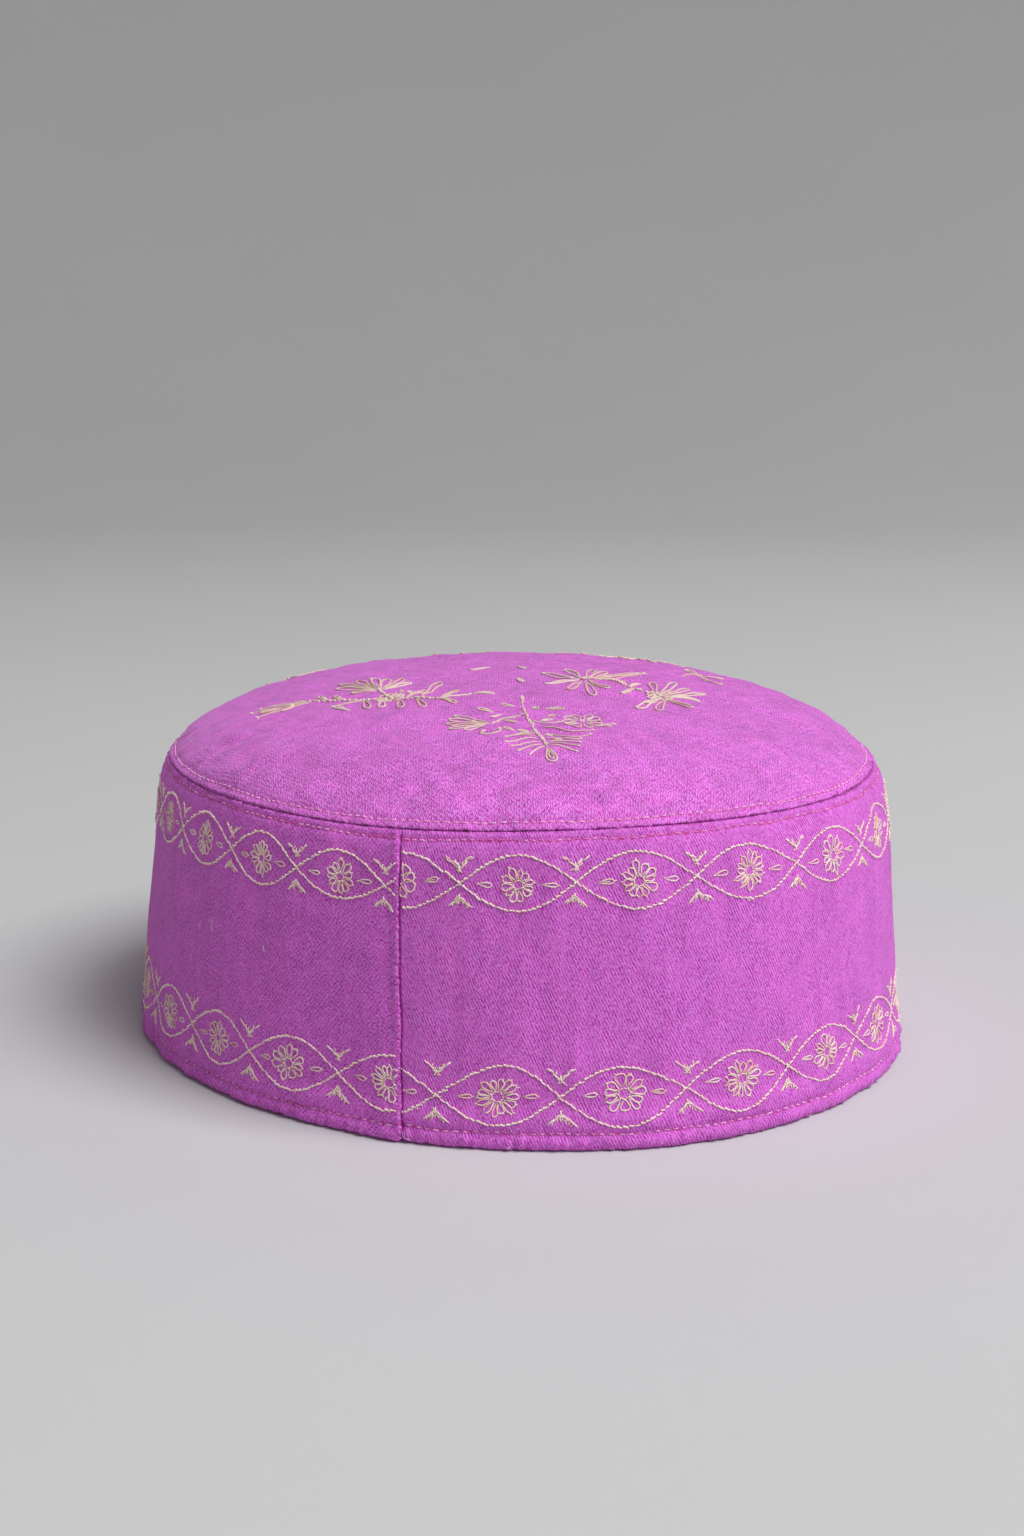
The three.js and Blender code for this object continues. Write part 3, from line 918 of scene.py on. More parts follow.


# The crown's sprays. Each is charted in millimetres from its own foot: along its axis, and to its
# side. rope and line follow points, loop is a petal from foot to tip with a width, leaf is a loop with a
# middle stitch, star is a flower of loops round a point, and knot a small ring
FRONT_SPRAY = {
    "foot": (-12.2, -30.9), "heading": -105.0, "thick": 1.05,
    "rope": [
        [(0, 0), (10, -0.8), (17.5, -0.8), (24, -0.7), (28, -0.1), (32, 0.2)],
        [(11.5, -0.9), (13, -4.6), (14.2, -6.8), (17.2, -9.2)],
    ],
    "line": [
        [(24.5, -0.9), (24.2, -3), (24.9, -5.2)], [(25.7, -1.2), (25.2, -4.4), (25.9, -7.6)],
        [(27.6, -1.0), (27.2, -4.2), (28.4, -7.9)], [(29.2, -0.8), (29.4, -4.0), (31.0, -7.2)],
        [(30.6, -0.4), (31.2, -3.2), (33.4, -6.0)], [(31.8, 0), (32.8, -1.9), (35.2, -3.9)],
        [(30.2, 0.8), (30.4, 3.6), (32.2, 7.4)], [(31.0, 0.8), (31.8, 3.2), (34.2, 6.8)],
        [(31.8, 0.8), (33.2, 2.9), (36.3, 5.8)],
        [(21, 0.9), (22.1, 3.9), (24.9, 6.8), (25, 11.5)],
        [(24.4, 0.9), (26.3, 4.1), (27.9, 6.3), (27, 10.6)],
        [(27.4, 0.7), (28.6, 3.4), (29.6, 6.0), (29.2, 8.4)],
        [(20.4, -8.2), (22.4, -8.0), (22.9, -10.2), (21.8, -12.2), (20.6, -11.2)],
        [(15, -0.6), (18.6, 2.8), (18.2, 5.6)], [(21.4, 13.5), (21.3, 17.2)], [(22.4, 12.6), (22.9, 15.6)],
    ],
    "loop": [
        (32.4, 0.3, 39.4, 0.3, 2.1), (33.4, 0.3, 38.2, 0.3, 0.9),
        (14.6, -9.6, 8.6, -16.2, 1.7), (14.8, -9.8, 10.4, -17.6, 1.5), (15, -9.9, 12.8, -18.6, 1.6),
        (15.4, -9.9, 15.0, -17.4, 1.5), (15.8, -9.8, 17.0, -18.4, 1.5), (16.2, -9.6, 18.6, -15.2, 1.6),
        (15, -9.5, 12.4, -12.6, 1.6), (16.2, -9.4, 17.6, -12.2, 1.4),
    ],
    "leaf": [
        (9.7, -5.6, 11.1, -8.4, 0.9), (7.4, -7.0, 4.4, -10.4, 0.9), (5.3, -2.2, 2.6, -4.8, 0.9),
        (17.2, -3.2, 14.9, -5.8, 0.9), (22.2, -4.9, 19.8, -6.9, 0.9), (23.8, -1.8, 21.9, -4.1, 0.8),
        (8.9, 3.6, 9.2, 8.2, 1.0), (7.2, 0.6, 7.8, 2.8, 0.9), (16.2, 1.2, 15.9, 4.1, 0.9),
        (13.7, 3.4, 13.5, 5.2, 0.8), (28.9, 2.1, 29.5, 3.8, 0.8), (25.4, 0.8, 25.7, 2.4, 0.8),
    ],
    "star": [(18.6, 10.2, 4.6, 1.9, 10)],
    "knot": [(18.6, 10.2, 0.8), (20.6, -7.9, 0.6), (20.7, -11.4, 0.6)],
}
LEFT_SPRAY = {
    "foot": (-17.2, -21.2), "heading": 145.8, "thick": 1.4,
    "rope": [
        [(9, 5), (14, 3.4), (20, 3.0), (27, 1.6), (34, 0.4), (41, -1.0)],
        [(20, 2.8), (22.6, -1.0), (25.6, -6.0)],
    ],
    "line": [
        [(9.2, 5.1), (5.8, 3.4), (2.7, 1.2)], [(41, -1), (47, -2.2), (53.4, -3.6)],
        [(41, -0.8), (47, 0), (54.2, 0.2)], [(40, -0.4), (45.6, 2.0), (51.8, 4.2)],
        [(41, -1.1), (45.2, -3.4), (50.4, -5.2)],
        [(27, 1.6), (31.4, 4.6), (33.6, 6.2)],
    ],
    "loop": [
        (25.8, -6.6, 33.8, -18.6, 1.9), (25.4, -6.8, 30.2, -20.4, 2.0), (25.0, -6.8, 26.4, -17.6, 2.2),
        (24.6, -6.6, 22.2, -16.8, 2.0), (24.4, -6.2, 19.6, -13.6, 1.9), (26.2, -6.0, 37.0, -10.6, 1.8),
        (26.2, -6.3, 37.6, -16.2, 1.8), (26, -5.4, 31.6, -4.4, 1.5),
        (27.0, 2.2, 24.2, 9.8, 1.5), (22.4, 3.2, 21.0, 10.4, 1.5), (18.4, 3.4, 16.4, 11.2, 1.5),
        (14.6, 3.4, 11.2, 10.8, 1.5), (17.2, 2.6, 14.4, -5.2, 1.7), (13.6, 2.8, 12.4, -12.6, 2.0),
        (47, -2.2, 50.6, -4.0, 1.3), (47, 0, 51.4, 1.4, 1.3), (43, -1, 45.8, -3.6, 1.2),
        (43, 0, 46.2, 2.9, 1.2),
    ],
    "leaf": [
        (9.2, 5.1, 6.2, -2.4, 1.1), (9.0, 5.4, 4.4, 9.4, 1.1), (28.6, 8.8, 33.2, 5.9, 1.0),
        (36, 0, 39, -3.4, 1.0), (32, 0.9, 35, -2.4, 1.0), (2.6, 1.2, -2.8, 0.4, 0.9),
    ],
    "star": [(21.0, 1.6, 3.4, 1.5, 9)],
    "knot": [(19.6, -3.2, 0.8), (17.6, -2.2, 0.8), (21.0, 1.6, 0.7), (44.6, -0.2, 0.7)],
}
STAR_SPRAY = {
    "foot": (9.4, -18.4), "heading": 0.0, "thick": 1.4,
    "rope": [[(0, 0), (5.2, -1.0), (6.4, -7.4), (7.0, -14.4), (8.6, -17.6)]],
    "line": [
        [(3, 2), (9, 5.4), (18.4, 8.4)], [(3.4, 1.2), (10, 4.2), (19.2, 6.2)],
        [(3.4, 0.4), (10.4, 2.0), (18.2, 5.0)],
    ],
    "loop": [
        (-1, 0.3, -10.4, -1.2, 1.9), (-0.8, -0.6, -8.2, -9.6, 1.9), (-0.2, -1, -5.6, -16.4, 1.9),
        (0.5, -1, 0.6, -11.4, 1.9), (-0.8, 0.9, -5.0, 12.4, 2.1), (0, 1.1, 3.4, 16.8, 2.1),
        (0.8, 0.9, 9.6, 14.6, 2.0), (1.0, 0.4, 11.0, 10.6, 2.0), (1.1, 0.1, 9.4, 5.0, 1.8),
        (9.8, -19.4, 3.4, -24.2, 1.6), (9.4, -20.2, -0.4, -27.6, 1.6), (10.2, -20.4, 3.8, -29.6, 1.6),
        (9.8, -20.2, 12.4, -29.4, 1.6), (10.6, -19.8, 18.4, -22.0, 1.7), (10.4, -19.2, 21.4, -11.2, 1.8),
        (10.0, -18.6, 21.2, -4.8, 1.8), (9.2, -18.0, 14.6, -6.0, 1.7), (10.8, -19.6, 22.4, -17.2, 1.7),
    ],
    "leaf": [(5.4, -1.2, 8.6, -4.0, 1.0), (6.5, -9.6, 10.6, -7.0, 1.0), (6.7, -12.2, 2.6, -15.2, 1.0)],
    "star": [(9.6, -19.2, 3.0, 1.4, 9)],
    "knot": [(0, 0, 1.0), (-1.9, 3.0, 0.7), (2.1, -15.7, 0.8), (9.6, -19.2, 0.8)],
}
SMALL_BITS = {
    "foot": (0.0, 0.0), "heading": 0.0, "thick": 1.4,
    "rope": [], "line": [[(38.4, -12.3), (42.0, -10.2), (45.0, -9.6)]],
    "loop": [(45, -9.6, 49, -13.4, 1.5), (43, -12, 42.4, -24.2, 1.7), (44.8, -9.4, 44.2, -3.4, 1.5)],
    "leaf": [(-2.8, 8.1, -8.2, 7.7, 1.1), (3.5, 6.2, 3.4, 1.6, 1.1), (-4.2, -10.0, -3.8, -13.2, 1.0)],
    "star": [], "knot": [(45, -9.6, 0.8)],
}


# Copies that finish the back of the crown: chart, foot, heading, scale
BACK_SPRAYS = [
    (FRONT_SPRAY, (8.0, 50.5), 80.0, 0.78),
    (LEFT_SPRAY, (31.0, 38.5), -27.0, 0.78),
    (STAR_SPRAY, (-35.0, 64.0), 90.0, 0.55),
]


def sew_spray(needle, chart, foot, heading, scale=1.0):
    """Sews one charted spray from its foot, turned to its heading."""
    rng = needle.rng
    angle = math.radians(heading)
    foot = np.array(foot, float)
    needle.thick = chart["thick"]

    def place(points):
        points = np.asarray(points, float)
        return turned(points + rng.normal(0, 0.07, points.shape), angle, foot, scale)

    def petal(a0, s0, a1, s1, width):
        length = math.hypot(a1 - a0, s1 - s0)
        shape = loop_shape(length, width)
        return place(turned(shape, math.atan2(s1 - s0, a1 - a0), (a0, s0)))

    for points in chart["rope"]:
        needle.rope(smooth_path(place(points), 60), stitch=1.3, slide=0.16, radius=0.21, lift=0.15)
    for points in chart["line"]:
        path = place(points)
        needle.line(path, radius=0.17, lift=0.13, count=13)
        tip = unit(path[-1] - path[-2])
        needle.stitch(path[-1] - tip * 0.7, path[-1] + tip * 0.2, radius=0.24, lift=0.18, tint=1.0)
    for values in chart["loop"]:
        needle.line(petal(*values), radius=0.17, lift=0.13, count=17)
    for a0, s0, a1, s1, width in chart["leaf"]:
        needle.line(petal(a0, s0, a1, s1, width), radius=0.17, lift=0.13, count=14)
        ends = place([(a0, s0), (a0 * 0.15 + a1 * 0.85, s0 * 0.15 + s1 * 0.85)])
        needle.stitch(*ends, radius=0.18, lift=0.16)
    for a, s, size, width, count in chart["star"]:
        turn = rng.uniform(0, TURN)
        for i in range(count):
            way = turn + i * TURN / count + rng.normal(0, 0.06)
            near, far = size * 0.28, size * rng.uniform(0.9, 1.06)
            c, d = math.cos(way), math.sin(way)
            path = petal(a + c * near, s + d * near, a + c * far, s + d * far, width)
            needle.line(path, radius=0.16, lift=0.13, count=13)
    for a, s, size in chart["knot"]:
        around = np.linspace(0, TURN, 10)
        ring = np.stack([a + size / 2 * np.cos(around), s + size / 2 * np.sin(around)], -1)
        needle.line(place(ring), radius=0.2, lift=0.16, count=10)


def embroider_crown(name, material, seed):
    threads = Threads(crown_surface)
    needle = Needle(threads, seed)
    for chart in (FRONT_SPRAY, LEFT_SPRAY, STAR_SPRAY, SMALL_BITS):
        sew_spray(needle, chart, chart["foot"], chart["heading"])
    for chart, foot, heading, scale in BACK_SPRAYS:
        sew_spray(needle, chart, foot, heading, scale)
    return new_object(name, threads.mesh(name), material)


# Seam stitches


SEAM_STITCH = {"pitch": 1.9, "drift": 0.14, "lift": 0.13, "radius": 0.16}


def stitch_row(name, surface, start, end, level, seed, tints, material):
    """A row of running stitches along a level, uneven, with the thread from below showing between them."""
    rng = np.random.default_rng(seed)
    threads = Threads(surface)
    wander = Ripples(seed + 5, 23.0, 300.0)
    t = np.linspace(0, 1, 5)
    arch = np.sin(math.pi * t) ** 0.5
    at = start
    while at < end - 0.4:
        length = SEAM_STITCH["pitch"] * rng.uniform(0.78, 1.25)
        gap = rng.uniform(0.35, 0.75)
        x = at + gap / 2 + (length - gap) * t
        slant = rng.normal(0, 0.05)
        y = level + SEAM_STITCH["drift"] * wander(x, 0.0) + slant * (t - 0.5) * 2 + rng.normal(0, 0.03)
        lift = SEAM_STITCH["lift"] * (arch * 2.4 - 1.4) * rng.uniform(0.8, 1.3)
        radius = SEAM_STITCH["radius"] * (0.6 + 0.4 * arch) * rng.uniform(0.9, 1.1)
        threads.add(np.stack([x, y], -1), lift, radius, rng.uniform(*tints))
        if rng.uniform() < 0.45:
            x = at + gap / 2 + rng.uniform(-0.5, 0.2) + rng.uniform(0.5, 1.1) * t
            y = level + SEAM_STITCH["drift"] * wander(x, 0.0) - rng.uniform(0.05, 0.3)
            thin = 0.11 * (0.5 + 0.5 * arch)
            threads.add(np.stack([x, y], -1), 0.05 * arch - 0.02, thin, rng.uniform(-0.4, 0.1))
        at += length
    return new_object(name, threads.mesh(name), material)


def edge_stitches(name, material, seed):
    """Small stitches that hold the lapped edge down, one in each notch of it."""
    rng = np.random.default_rng(seed)

    def surface(right, height):
        turn = TURN + right / MIDDLE_HALF_WIDTH
        return band_point(turn, height, outside_inset(height) - LAP_STEP - 0.2, "out", False)

    threads = Threads(surface)
    t = np.linspace(0, 1, 6)
    for height in np.arange(2 * LAP_PITCH, SEAM_HEIGHT - 2.0, LAP_PITCH):
        if rng.uniform() < 0.25:
            continue
        reach = rng.uniform(0.35, 0.75)
        slope = rng.normal(0.1, 0.1)
        path = np.stack([(reach + 0.1) * t - reach, height + slope * (t - 0.5)], -1)
        lift = 0.1 * np.sin(math.pi * t) ** 0.7 - 0.04 - 0.45 * t**5
        threads.add(path, lift, 0.075, rng.uniform(0.2, 1))
    return new_object(name, threads.mesh(name), material)


# Bits of lint and loose thread ends that lie on the band: arc length from the front, height, length, heading
# and curl in degrees
LOOSE_BITS = [
    (-118.2, 36.4, 3.0, 97, 14), (-123.7, 35.4, 1.2, 88, 20), (-99.4, 35.1, 1.5, 104, 25),
    (-41.6, 4.6, 1.3, 118, 30), (-62.9, 1.9, 1.5, -62, 60), (-62.2, 1.1, 1.2, -20, -50),
    (-42.2, 1.2, 1.3, -8, 30), (-12.0, 1.3, 0.9, 160, 30), (118.0, 44.0, 1.6, 20, 60),
    (168.0, 22.0, 1.2, 110, 20), (215.0, 38.0, 1.5, 70, 40),
]


def loose_bits(name, surface, material, seed):
    rng = np.random.default_rng(seed)
    threads = Threads(surface)
    t = np.linspace(0, 1, 8)
    for arc, height, length, heading, curl in LOOSE_BITS:
        way = math.radians(heading) + math.radians(curl) * (t - 0.5)
        steps = np.stack([np.cos(way), np.sin(way)], -1) * length / (len(t) - 1)
        path = np.array([arc, height]) + np.cumsum(steps, axis=0) - steps.sum(0) / 2
        path[:, 1] = np.maximum(path[:, 1], 0.5)
        lift = 0.03 + 0.12 * np.sin(math.pi * t + rng.normal(0, 0.4)) ** 2
        threads.add(path, lift, 0.042 + 0.015 * rng.uniform(size=len(t)), rng.uniform(0.5, 1))
    return new_object(name, threads.mesh(name), material)


# Fuzz


# A fibre's radius from root to tip, how low one may reach, and how many lie on the band and the crown
FIBRE_RADII = (0.022, 0.02, 0.016, 0.008)
LOWEST_FIBRE = 0.03
BAND_FIBRES = 2418
CROWN_FIBRES = 1482


def fuzz(name, material, seed):
    """Short loose fibres that stand out of the cloth."""
    rng = np.random.default_rng(seed)
    on_band, on_crown = BAND_FIBRES, CROWN_FIBRES
    turns = rng.uniform(0.004, TURN - 0.004, on_band)
    heights = rng.uniform(0.8, SEAM_HEIGHT - 1.0, on_band)
    inset = outside_inset(heights)
    root_a = band_point(turns, heights, inset)
    across_a = band_point(turns + 0.001, heights, inset) - root_a
    up_a = band_point(turns, heights + 0.1, inset) - root_a
    angles = rng.uniform(-math.pi, math.pi, on_crown)
    last = float(CROWN_REACH[-1])
    reaches = np.minimum(last * (1 - np.sqrt(rng.uniform(0, 1, on_crown))) + 1.6, last - 1.0)
    root_b = crown_point(angles, reaches)
    across_b = crown_point(angles + 0.001, reaches) - root_b
    up_b = crown_point(angles, reaches + 0.1) - root_b
    root = np.vstack([root_a, root_b])
    across = unit(np.vstack([across_a, across_b]))
    up = unit(np.vstack([up_a, up_b]))
    normal = unit(np.cross(across, up))
    count = len(root)
    length = 0.35 + 1.5 * rng.uniform(0, 1, count) ** 2.6
    heading = rng.uniform(0, TURN, count)
    rise = rng.uniform(0.15, 0.95, count)
    flat = across * np.cos(heading)[:, None] + up * np.sin(heading)[:, None]
    curl = rng.normal(0, 0.7, count)
    turn_side = np.cross(normal, flat)
    centres = []
    for t in np.linspace(0, 1, len(FIBRE_RADII)):
        forward = flat * np.cos(curl * t)[:, None] + turn_side * np.sin(curl * t)[:, None]
        height = (np.sin(rise * 1.4 * t) * 0.9 - 0.04)[:, None]
        reach = (t * (1 - 0.25 * t * rise))[:, None]
        centres.append(root + (forward * reach + normal * height) * length[:, None])
    centres = np.stack(centres, 1).reshape(-1, 3)
    centres[:, 2] = np.maximum(centres[:, 2], LOWEST_FIBRE)
    points = len(FIBRE_RADII)
    side = np.repeat(turn_side, points, axis=0)
    up = np.repeat(-normal, points, axis=0)
    mesh = tubes(name, centres, side, up, np.tile(FIBRE_RADII, count), np.full(count, points), 3)[0]
    return new_object(name, mesh, material)


# Materials


class Graph:
    """A material and short ways to add and join its nodes."""

    def __init__(self, name):
        self.material = bpy.data.materials.new(name)
        self.material.use_nodes = True
        self.tree = self.material.node_tree
        self.shader = self.tree.nodes["Principled BSDF"]

    def node(self, kind, **settings):
        made = self.tree.nodes.new("ShaderNode" + kind)
        for key, value in settings.items():
            setattr(made, key, value)
        return made

    def feed(self, socket, value):
        if isinstance(value, bpy.types.NodeSocket):
            self.tree.links.new(value, socket)
        else:
            socket.default_value = value

    def math(self, operation, a, b=0.0, clamp=False):
        made = self.node("Math", operation=operation, use_clamp=clamp)
        self.feed(made.inputs[0], a)
        self.feed(made.inputs[1], b)
        return made.outputs[0]

    def times(self, a, b):
        return self.math("MULTIPLY", a, b)

    def total(self, *terms):
        """The sum of (value, weight) pairs."""
        result = None
        for value, weight in terms:
            part = self.times(value, weight)
            result = part if result is None else self.math("ADD", result, part)
        return result

    def uv(self, name):
        made = self.node("UVMap", uv_map=name)
        parts = self.node("SeparateXYZ")
        self.feed(parts.inputs[0], made.outputs[0])
        return parts.outputs[0], parts.outputs[1]

    def vector(self, x, y, z=0.0):
        made = self.node("CombineXYZ")
        for socket, value in zip(made.inputs, (x, y, z)):
            self.feed(socket, value)
        return made.outputs[0]

    def noise(self, vector, scale, detail=2.0, roughness=0.55):
        made = self.node("TexNoise")
        self.feed(made.inputs["Vector"], vector)
        made.inputs["Scale"].default_value = scale
        made.inputs["Detail"].default_value = detail
        made.inputs["Roughness"].default_value = roughness
        return made.outputs[0]

    def cells(self, vector, randomness):
        made = self.node("TexVoronoi", feature="F1")
        self.feed(made.inputs["Vector"], vector)
        made.inputs["Scale"].default_value = 1.0
        made.inputs["Randomness"].default_value = randomness
        return made.outputs["Distance"]

    def span(self, value, low, high, to_low=0.0, to_high=1.0):
        made = self.node("MapRange")
        for socket, number in zip(made.inputs, (value, low, high, to_low, to_high)):
            self.feed(socket, number)
        return made.outputs[0]

    def blend(self, share, a, b):
        """A number that goes from a to b as the share goes from 0 to 1."""
        made = self.node("Mix", data_type="FLOAT")
        for socket, value in zip(made.inputs, (share, None, a, b)):
            if value is not None:
                self.feed(socket, value)
        return made.outputs[0]

    def mix(self, share, a, b, blend="MIX"):
        made = self.node("Mix", data_type="RGBA", blend_type=blend)
        self.feed(made.inputs[0], share)
        self.feed(made.inputs[6], a)
        self.feed(made.inputs[7], b)
        return made.outputs[2]

    def bump(self, height, distance, strength=1.0):
        made = self.node("Bump")
        made.inputs["Strength"].default_value = strength
        made.inputs["Distance"].default_value = distance
        self.feed(made.inputs["Height"], height)
        self.feed(self.shader.inputs["Normal"], made.outputs[0])


def srgb(red, green, blue):
    """A colour given as 0 to 255 screen values, as the shader's own numbers."""
    def one(value):
        value = value / 255
        return value / 12.92 if value <= 0.04045 else ((value + 0.055) / 1.055) ** 2.4
    return (one(red), one(green), one(blue), 1.0)


def cloth_material(name, weave):
    """Woven cloth. weave gives the wales' lean, their spacing, the floats' length, and the colours."""
    g = Graph(name)
    across, up = g.uv("Cloth")
    lean = math.radians(weave["lean"])
    p = g.total((across, math.sin(lean)), (up, math.cos(lean)))
    q = g.total((across, math.cos(lean)), (up, -math.sin(lean)))
    flat = g.vector(across, up)
    drift = g.noise(flat, 0.09, 1.0)
    waver = g.noise(flat, 0.7, 1.0)
    lane = g.total((p, 1 / weave["spacing"]), (drift, weave["drift"]), (waver, weave["waver"]))
    wave = g.math("COSINE", g.times(lane, TURN))
    lane_right = g.times(g.math("FLOOR", lane), 7.31)
    lane_left = g.times(g.math("ROUND", lane), 5.17)
    step = g.math("DIVIDE", q, weave["float"])
    gaps = g.span(g.noise(g.vector(lane_right, step), 1.0, 1.0), 0.4, 0.6)
    floats = g.span(g.noise(g.vector(lane_left, step, 9.0), 1.0, 1.0), 0.4, 0.6)
    valley = g.math("POWER", g.math("MAXIMUM", g.times(wave, -1.0), 0.0), 1.5)
    crest = g.math("POWER", g.math("MAXIMUM", wave, 0.0), 1.5)
    strength = g.span(g.noise(flat, 0.12, 2.0), 0.36, 0.62, weave["faint"], 1.0)
    floated = g.total((g.times(crest, floats), weave["crest"]), (g.times(valley, gaps), -weave["valley"]))
    wales = g.times(floated, strength)
    hop = g.total((g.math("ROUND", lane), 0.5), (q, 1 / weave["dot"]), (waver, 1.6))
    dots = g.times(wave, g.math("COSINE", g.times(hop, TURN)))
    dots = g.times(dots, strength)
    grain = g.noise(g.vector(g.times(p, weave["grain"]), g.times(q, weave["grain_along"])), 1.0, 2.0, 0.6)
    base = 0.55 - weave["mealy"] / 2
    shade = g.total((wales, weave["ridge"]), (dots, weave["dotted"]), (grain, weave["mealy"]), (base, 1.0))
    if weave["hatched"]:
        share = g.span(across, *weave["hatched"])
        shade = g.blend(share, shade, cross_hatch(g, across, up, waver, drift, weave))
    streak = g.noise(g.vector(g.times(across, 0.22), g.times(up, 0.03)), 1.0, 3.0, 0.6)
    mottle = g.noise(flat, 0.16, 3.0, 0.6)
    # Painted shade in the weave: its crests come out lighter and its valleys darker in colour, following the
    # same relief as the bump, over the threads' own uneven tone.
    colour = g.mix(g.span(shade, 0.0, 1.0), weave["dark"], weave["light"])
    colour = g.mix(g.span(mottle, 0.35, 0.7, 0.0, weave["rosy"]), colour, weave["pink"])
    blotch = g.noise(flat, 0.075, 2.0, 0.55)
    clump = g.noise(flat, 0.3, 2.0, 0.6)
    rest = 1.0 - (weave["streak"] + weave["blotch"] + weave["clump"]) / 2 - 0.1
    level = g.total(
        (streak, weave["streak"]), (mottle, 0.2), (blotch, weave["blotch"]), (clump, weave["clump"]),
        (rest, 1.0),
    )
    tone = g.vector(level, level, level)
    colour = g.mix(1.0, colour, tone, "MULTIPLY")
    level_of_row = row_distance(g, across, up, weave)
    # Along each stitch row a dark rose line: partly the thread that shows between the stitches, partly
    # painted shade in the row's groove.
    for row in weave["rows"]:
        far = g.math("ABSOLUTE", g.math("SUBTRACT", level_of_row, row))
        line = g.span(g.total((far, 1.0), (waver, 1.2)), 0.5, 1.05, 0.5, 0.0)
        colour = g.mix(line, colour, weave["row_thread_and_shade"])
    # Painted shade: the cloth by the crown seam is darkened to a deep magenta line, for the shade in the
    # crevice between crown and band.
    far = g.math("ABSOLUTE", g.math("SUBTRACT", level_of_row, weave["edge"]))
    seam_shade_mask = g.span(g.total((far, 1.0), (waver, 1.0)), 0.5, 0.95, 0.75, 0.0)
    colour = g.mix(seam_shade_mask, colour, weave["painted_seam_shade"])
    g.feed(g.shader.inputs["Base Color"], colour)
    g.feed(g.shader.inputs["Roughness"], g.span(shade, 0.0, 1.0, 0.95, 0.8))
    g.shader.inputs["Specular IOR Level"].default_value = 0.35
    g.shader.inputs["Sheen Weight"].default_value = weave["sheen"]
    g.shader.inputs["Sheen Roughness"].default_value = 0.45
    g.shader.inputs["Sheen Tint"].default_value = weave["sheen_tint"]
    g.bump(shade, weave["relief"] * MM)
    return g.material


def cross_hatch(g, across, up, waver, drift, weave):
    """The same cloth where its two sets of threads show alike: a fine diamond grid instead of wales."""
    fall = g.total((across, 0.84), (up, 1.12), (waver, 1.5), (drift, 1.2))
    climb = g.total((across, 1.04), (up, -0.8), (waver, 1.5), (drift, -1.2))
    waves = [g.math("COSINE", g.times(lane, TURN)) for lane in (fall, climb)]
    grain = g.noise(g.vector(across, up, 4.0), 2.3, 2.0, 0.6)
    base = 0.52 - weave["mealy"] / 2
    return g.total((waves[0], 0.15), (waves[1], 0.16), (grain, weave["mealy"]), (base, 1.0))


def row_distance(g, across, up, weave):
    """The coordinate that a row of stitches keeps to: up the band, or out from the crown's middle."""
    if not weave["round"]:
        return up
    squashed = g.math("DIVIDE", up, OVAL_RATIO)
    square = g.total((g.times(across, across), 1.0), (g.times(squashed, squashed), 1.0))
    return g.math("SQRT", square)


def thread_material(name, light, dark, gloss, twist):
    """Twisted thread with a soft shine. tint differs from stitch to stitch."""
    g = Graph(name)
    along, around = g.uv("Thread")
    tint = g.node("Attribute", attribute_name="tint").outputs["Fac"]
    ply = g.math("SINE", g.times(g.total((along, 1 / twist), (around, 2.0)), TURN))
    ply = g.total((ply, 0.5), (0.5, 1.0))
    hairs = g.noise(g.vector(g.times(along, 3.0), g.times(around, 14.0)), 1.0, 2.0, 0.6)
    height = g.total((ply, 0.7), (hairs, 0.3))
    # Painted highlight and shade along the twist: the colour is lighter on the plies' crests and darker in
    # the grooves between them, mixed with each stitch's own tint.
    colour = g.mix(g.span(g.total((height, 0.55), (tint, 0.55)), 0.2, 0.95), dark, light)
    g.feed(g.shader.inputs["Base Color"], colour)
    g.feed(g.shader.inputs["Roughness"], g.span(hairs, 0.2, 0.8, gloss, gloss + 0.18))
    g.shader.inputs["Specular IOR Level"].default_value = 0.55
    g.shader.inputs["Sheen Weight"].default_value = 0.2
    g.shader.inputs["Sheen Tint"].default_value = light
    g.bump(height, 0.05 * MM)
    return g.material


def fuzz_material():
    g = Graph("fuzz")
    g.shader.inputs["Roughness"].default_value = 0.6
    g.shader.inputs["Specular IOR Level"].default_value = 0.4
    place = g.node("NewGeometry").outputs["Position"]
    tone = g.noise(place, 900.0, 1.0)
    g.feed(g.shader.inputs["Base Color"], g.mix(tone, srgb(196, 96, 190), srgb(238, 178, 232)))
    return g.material


def floor_material():
    g = Graph("floor")
    place = g.node("NewGeometry").outputs["Position"]
    tone = g.noise(place, 3.0, 3.0)
    g.feed(g.shader.inputs["Base Color"], g.mix(tone, (0.57, 0.57, 0.575, 1.0), (0.60, 0.60, 0.605, 1.0)))
    g.shader.inputs["Roughness"].default_value = 0.9
    grain = g.noise(place, 1500.0, 2.0)
    g.bump(grain, 0.05 * MM, 0.4)
    return g.material


# The weaves' dark seam tint is painted shade: the line in the crevice at the crown seam.
# The weaves' row tint is a dark rose line along the stitch rows: partly the thread between the stitches,
# partly painted shade in the rows' grooves.
BAND_WEAVE = {
    "lean": 66, "spacing": 0.6, "float": 1.2, "drift": 1.3, "waver": 0.6, "ridge": 1.75, "faint": 0.4,
    "dot": 0.9, "dotted": 0.12, "crest": 0.55, "valley": 0.5,
    "grain": 3.3, "grain_along": 1.7, "mealy": 2.3, "relief": 0.045, "round": False, "rows": [],
    "dark": srgb(182, 4, 170), "light": srgb(228, 138, 232), "pink": srgb(220, 100, 206),
    "row_thread_and_shade": srgb(196, 36, 122), "streak": 0.34, "sheen": 0.2, "sheen_tint": srgb(238, 160, 232),
    "blotch": 0.26, "clump": 0.26, "rosy": 0.3, "painted_seam_shade": srgb(140, 8, 120), "hatched": (300.0, 360.0),
}
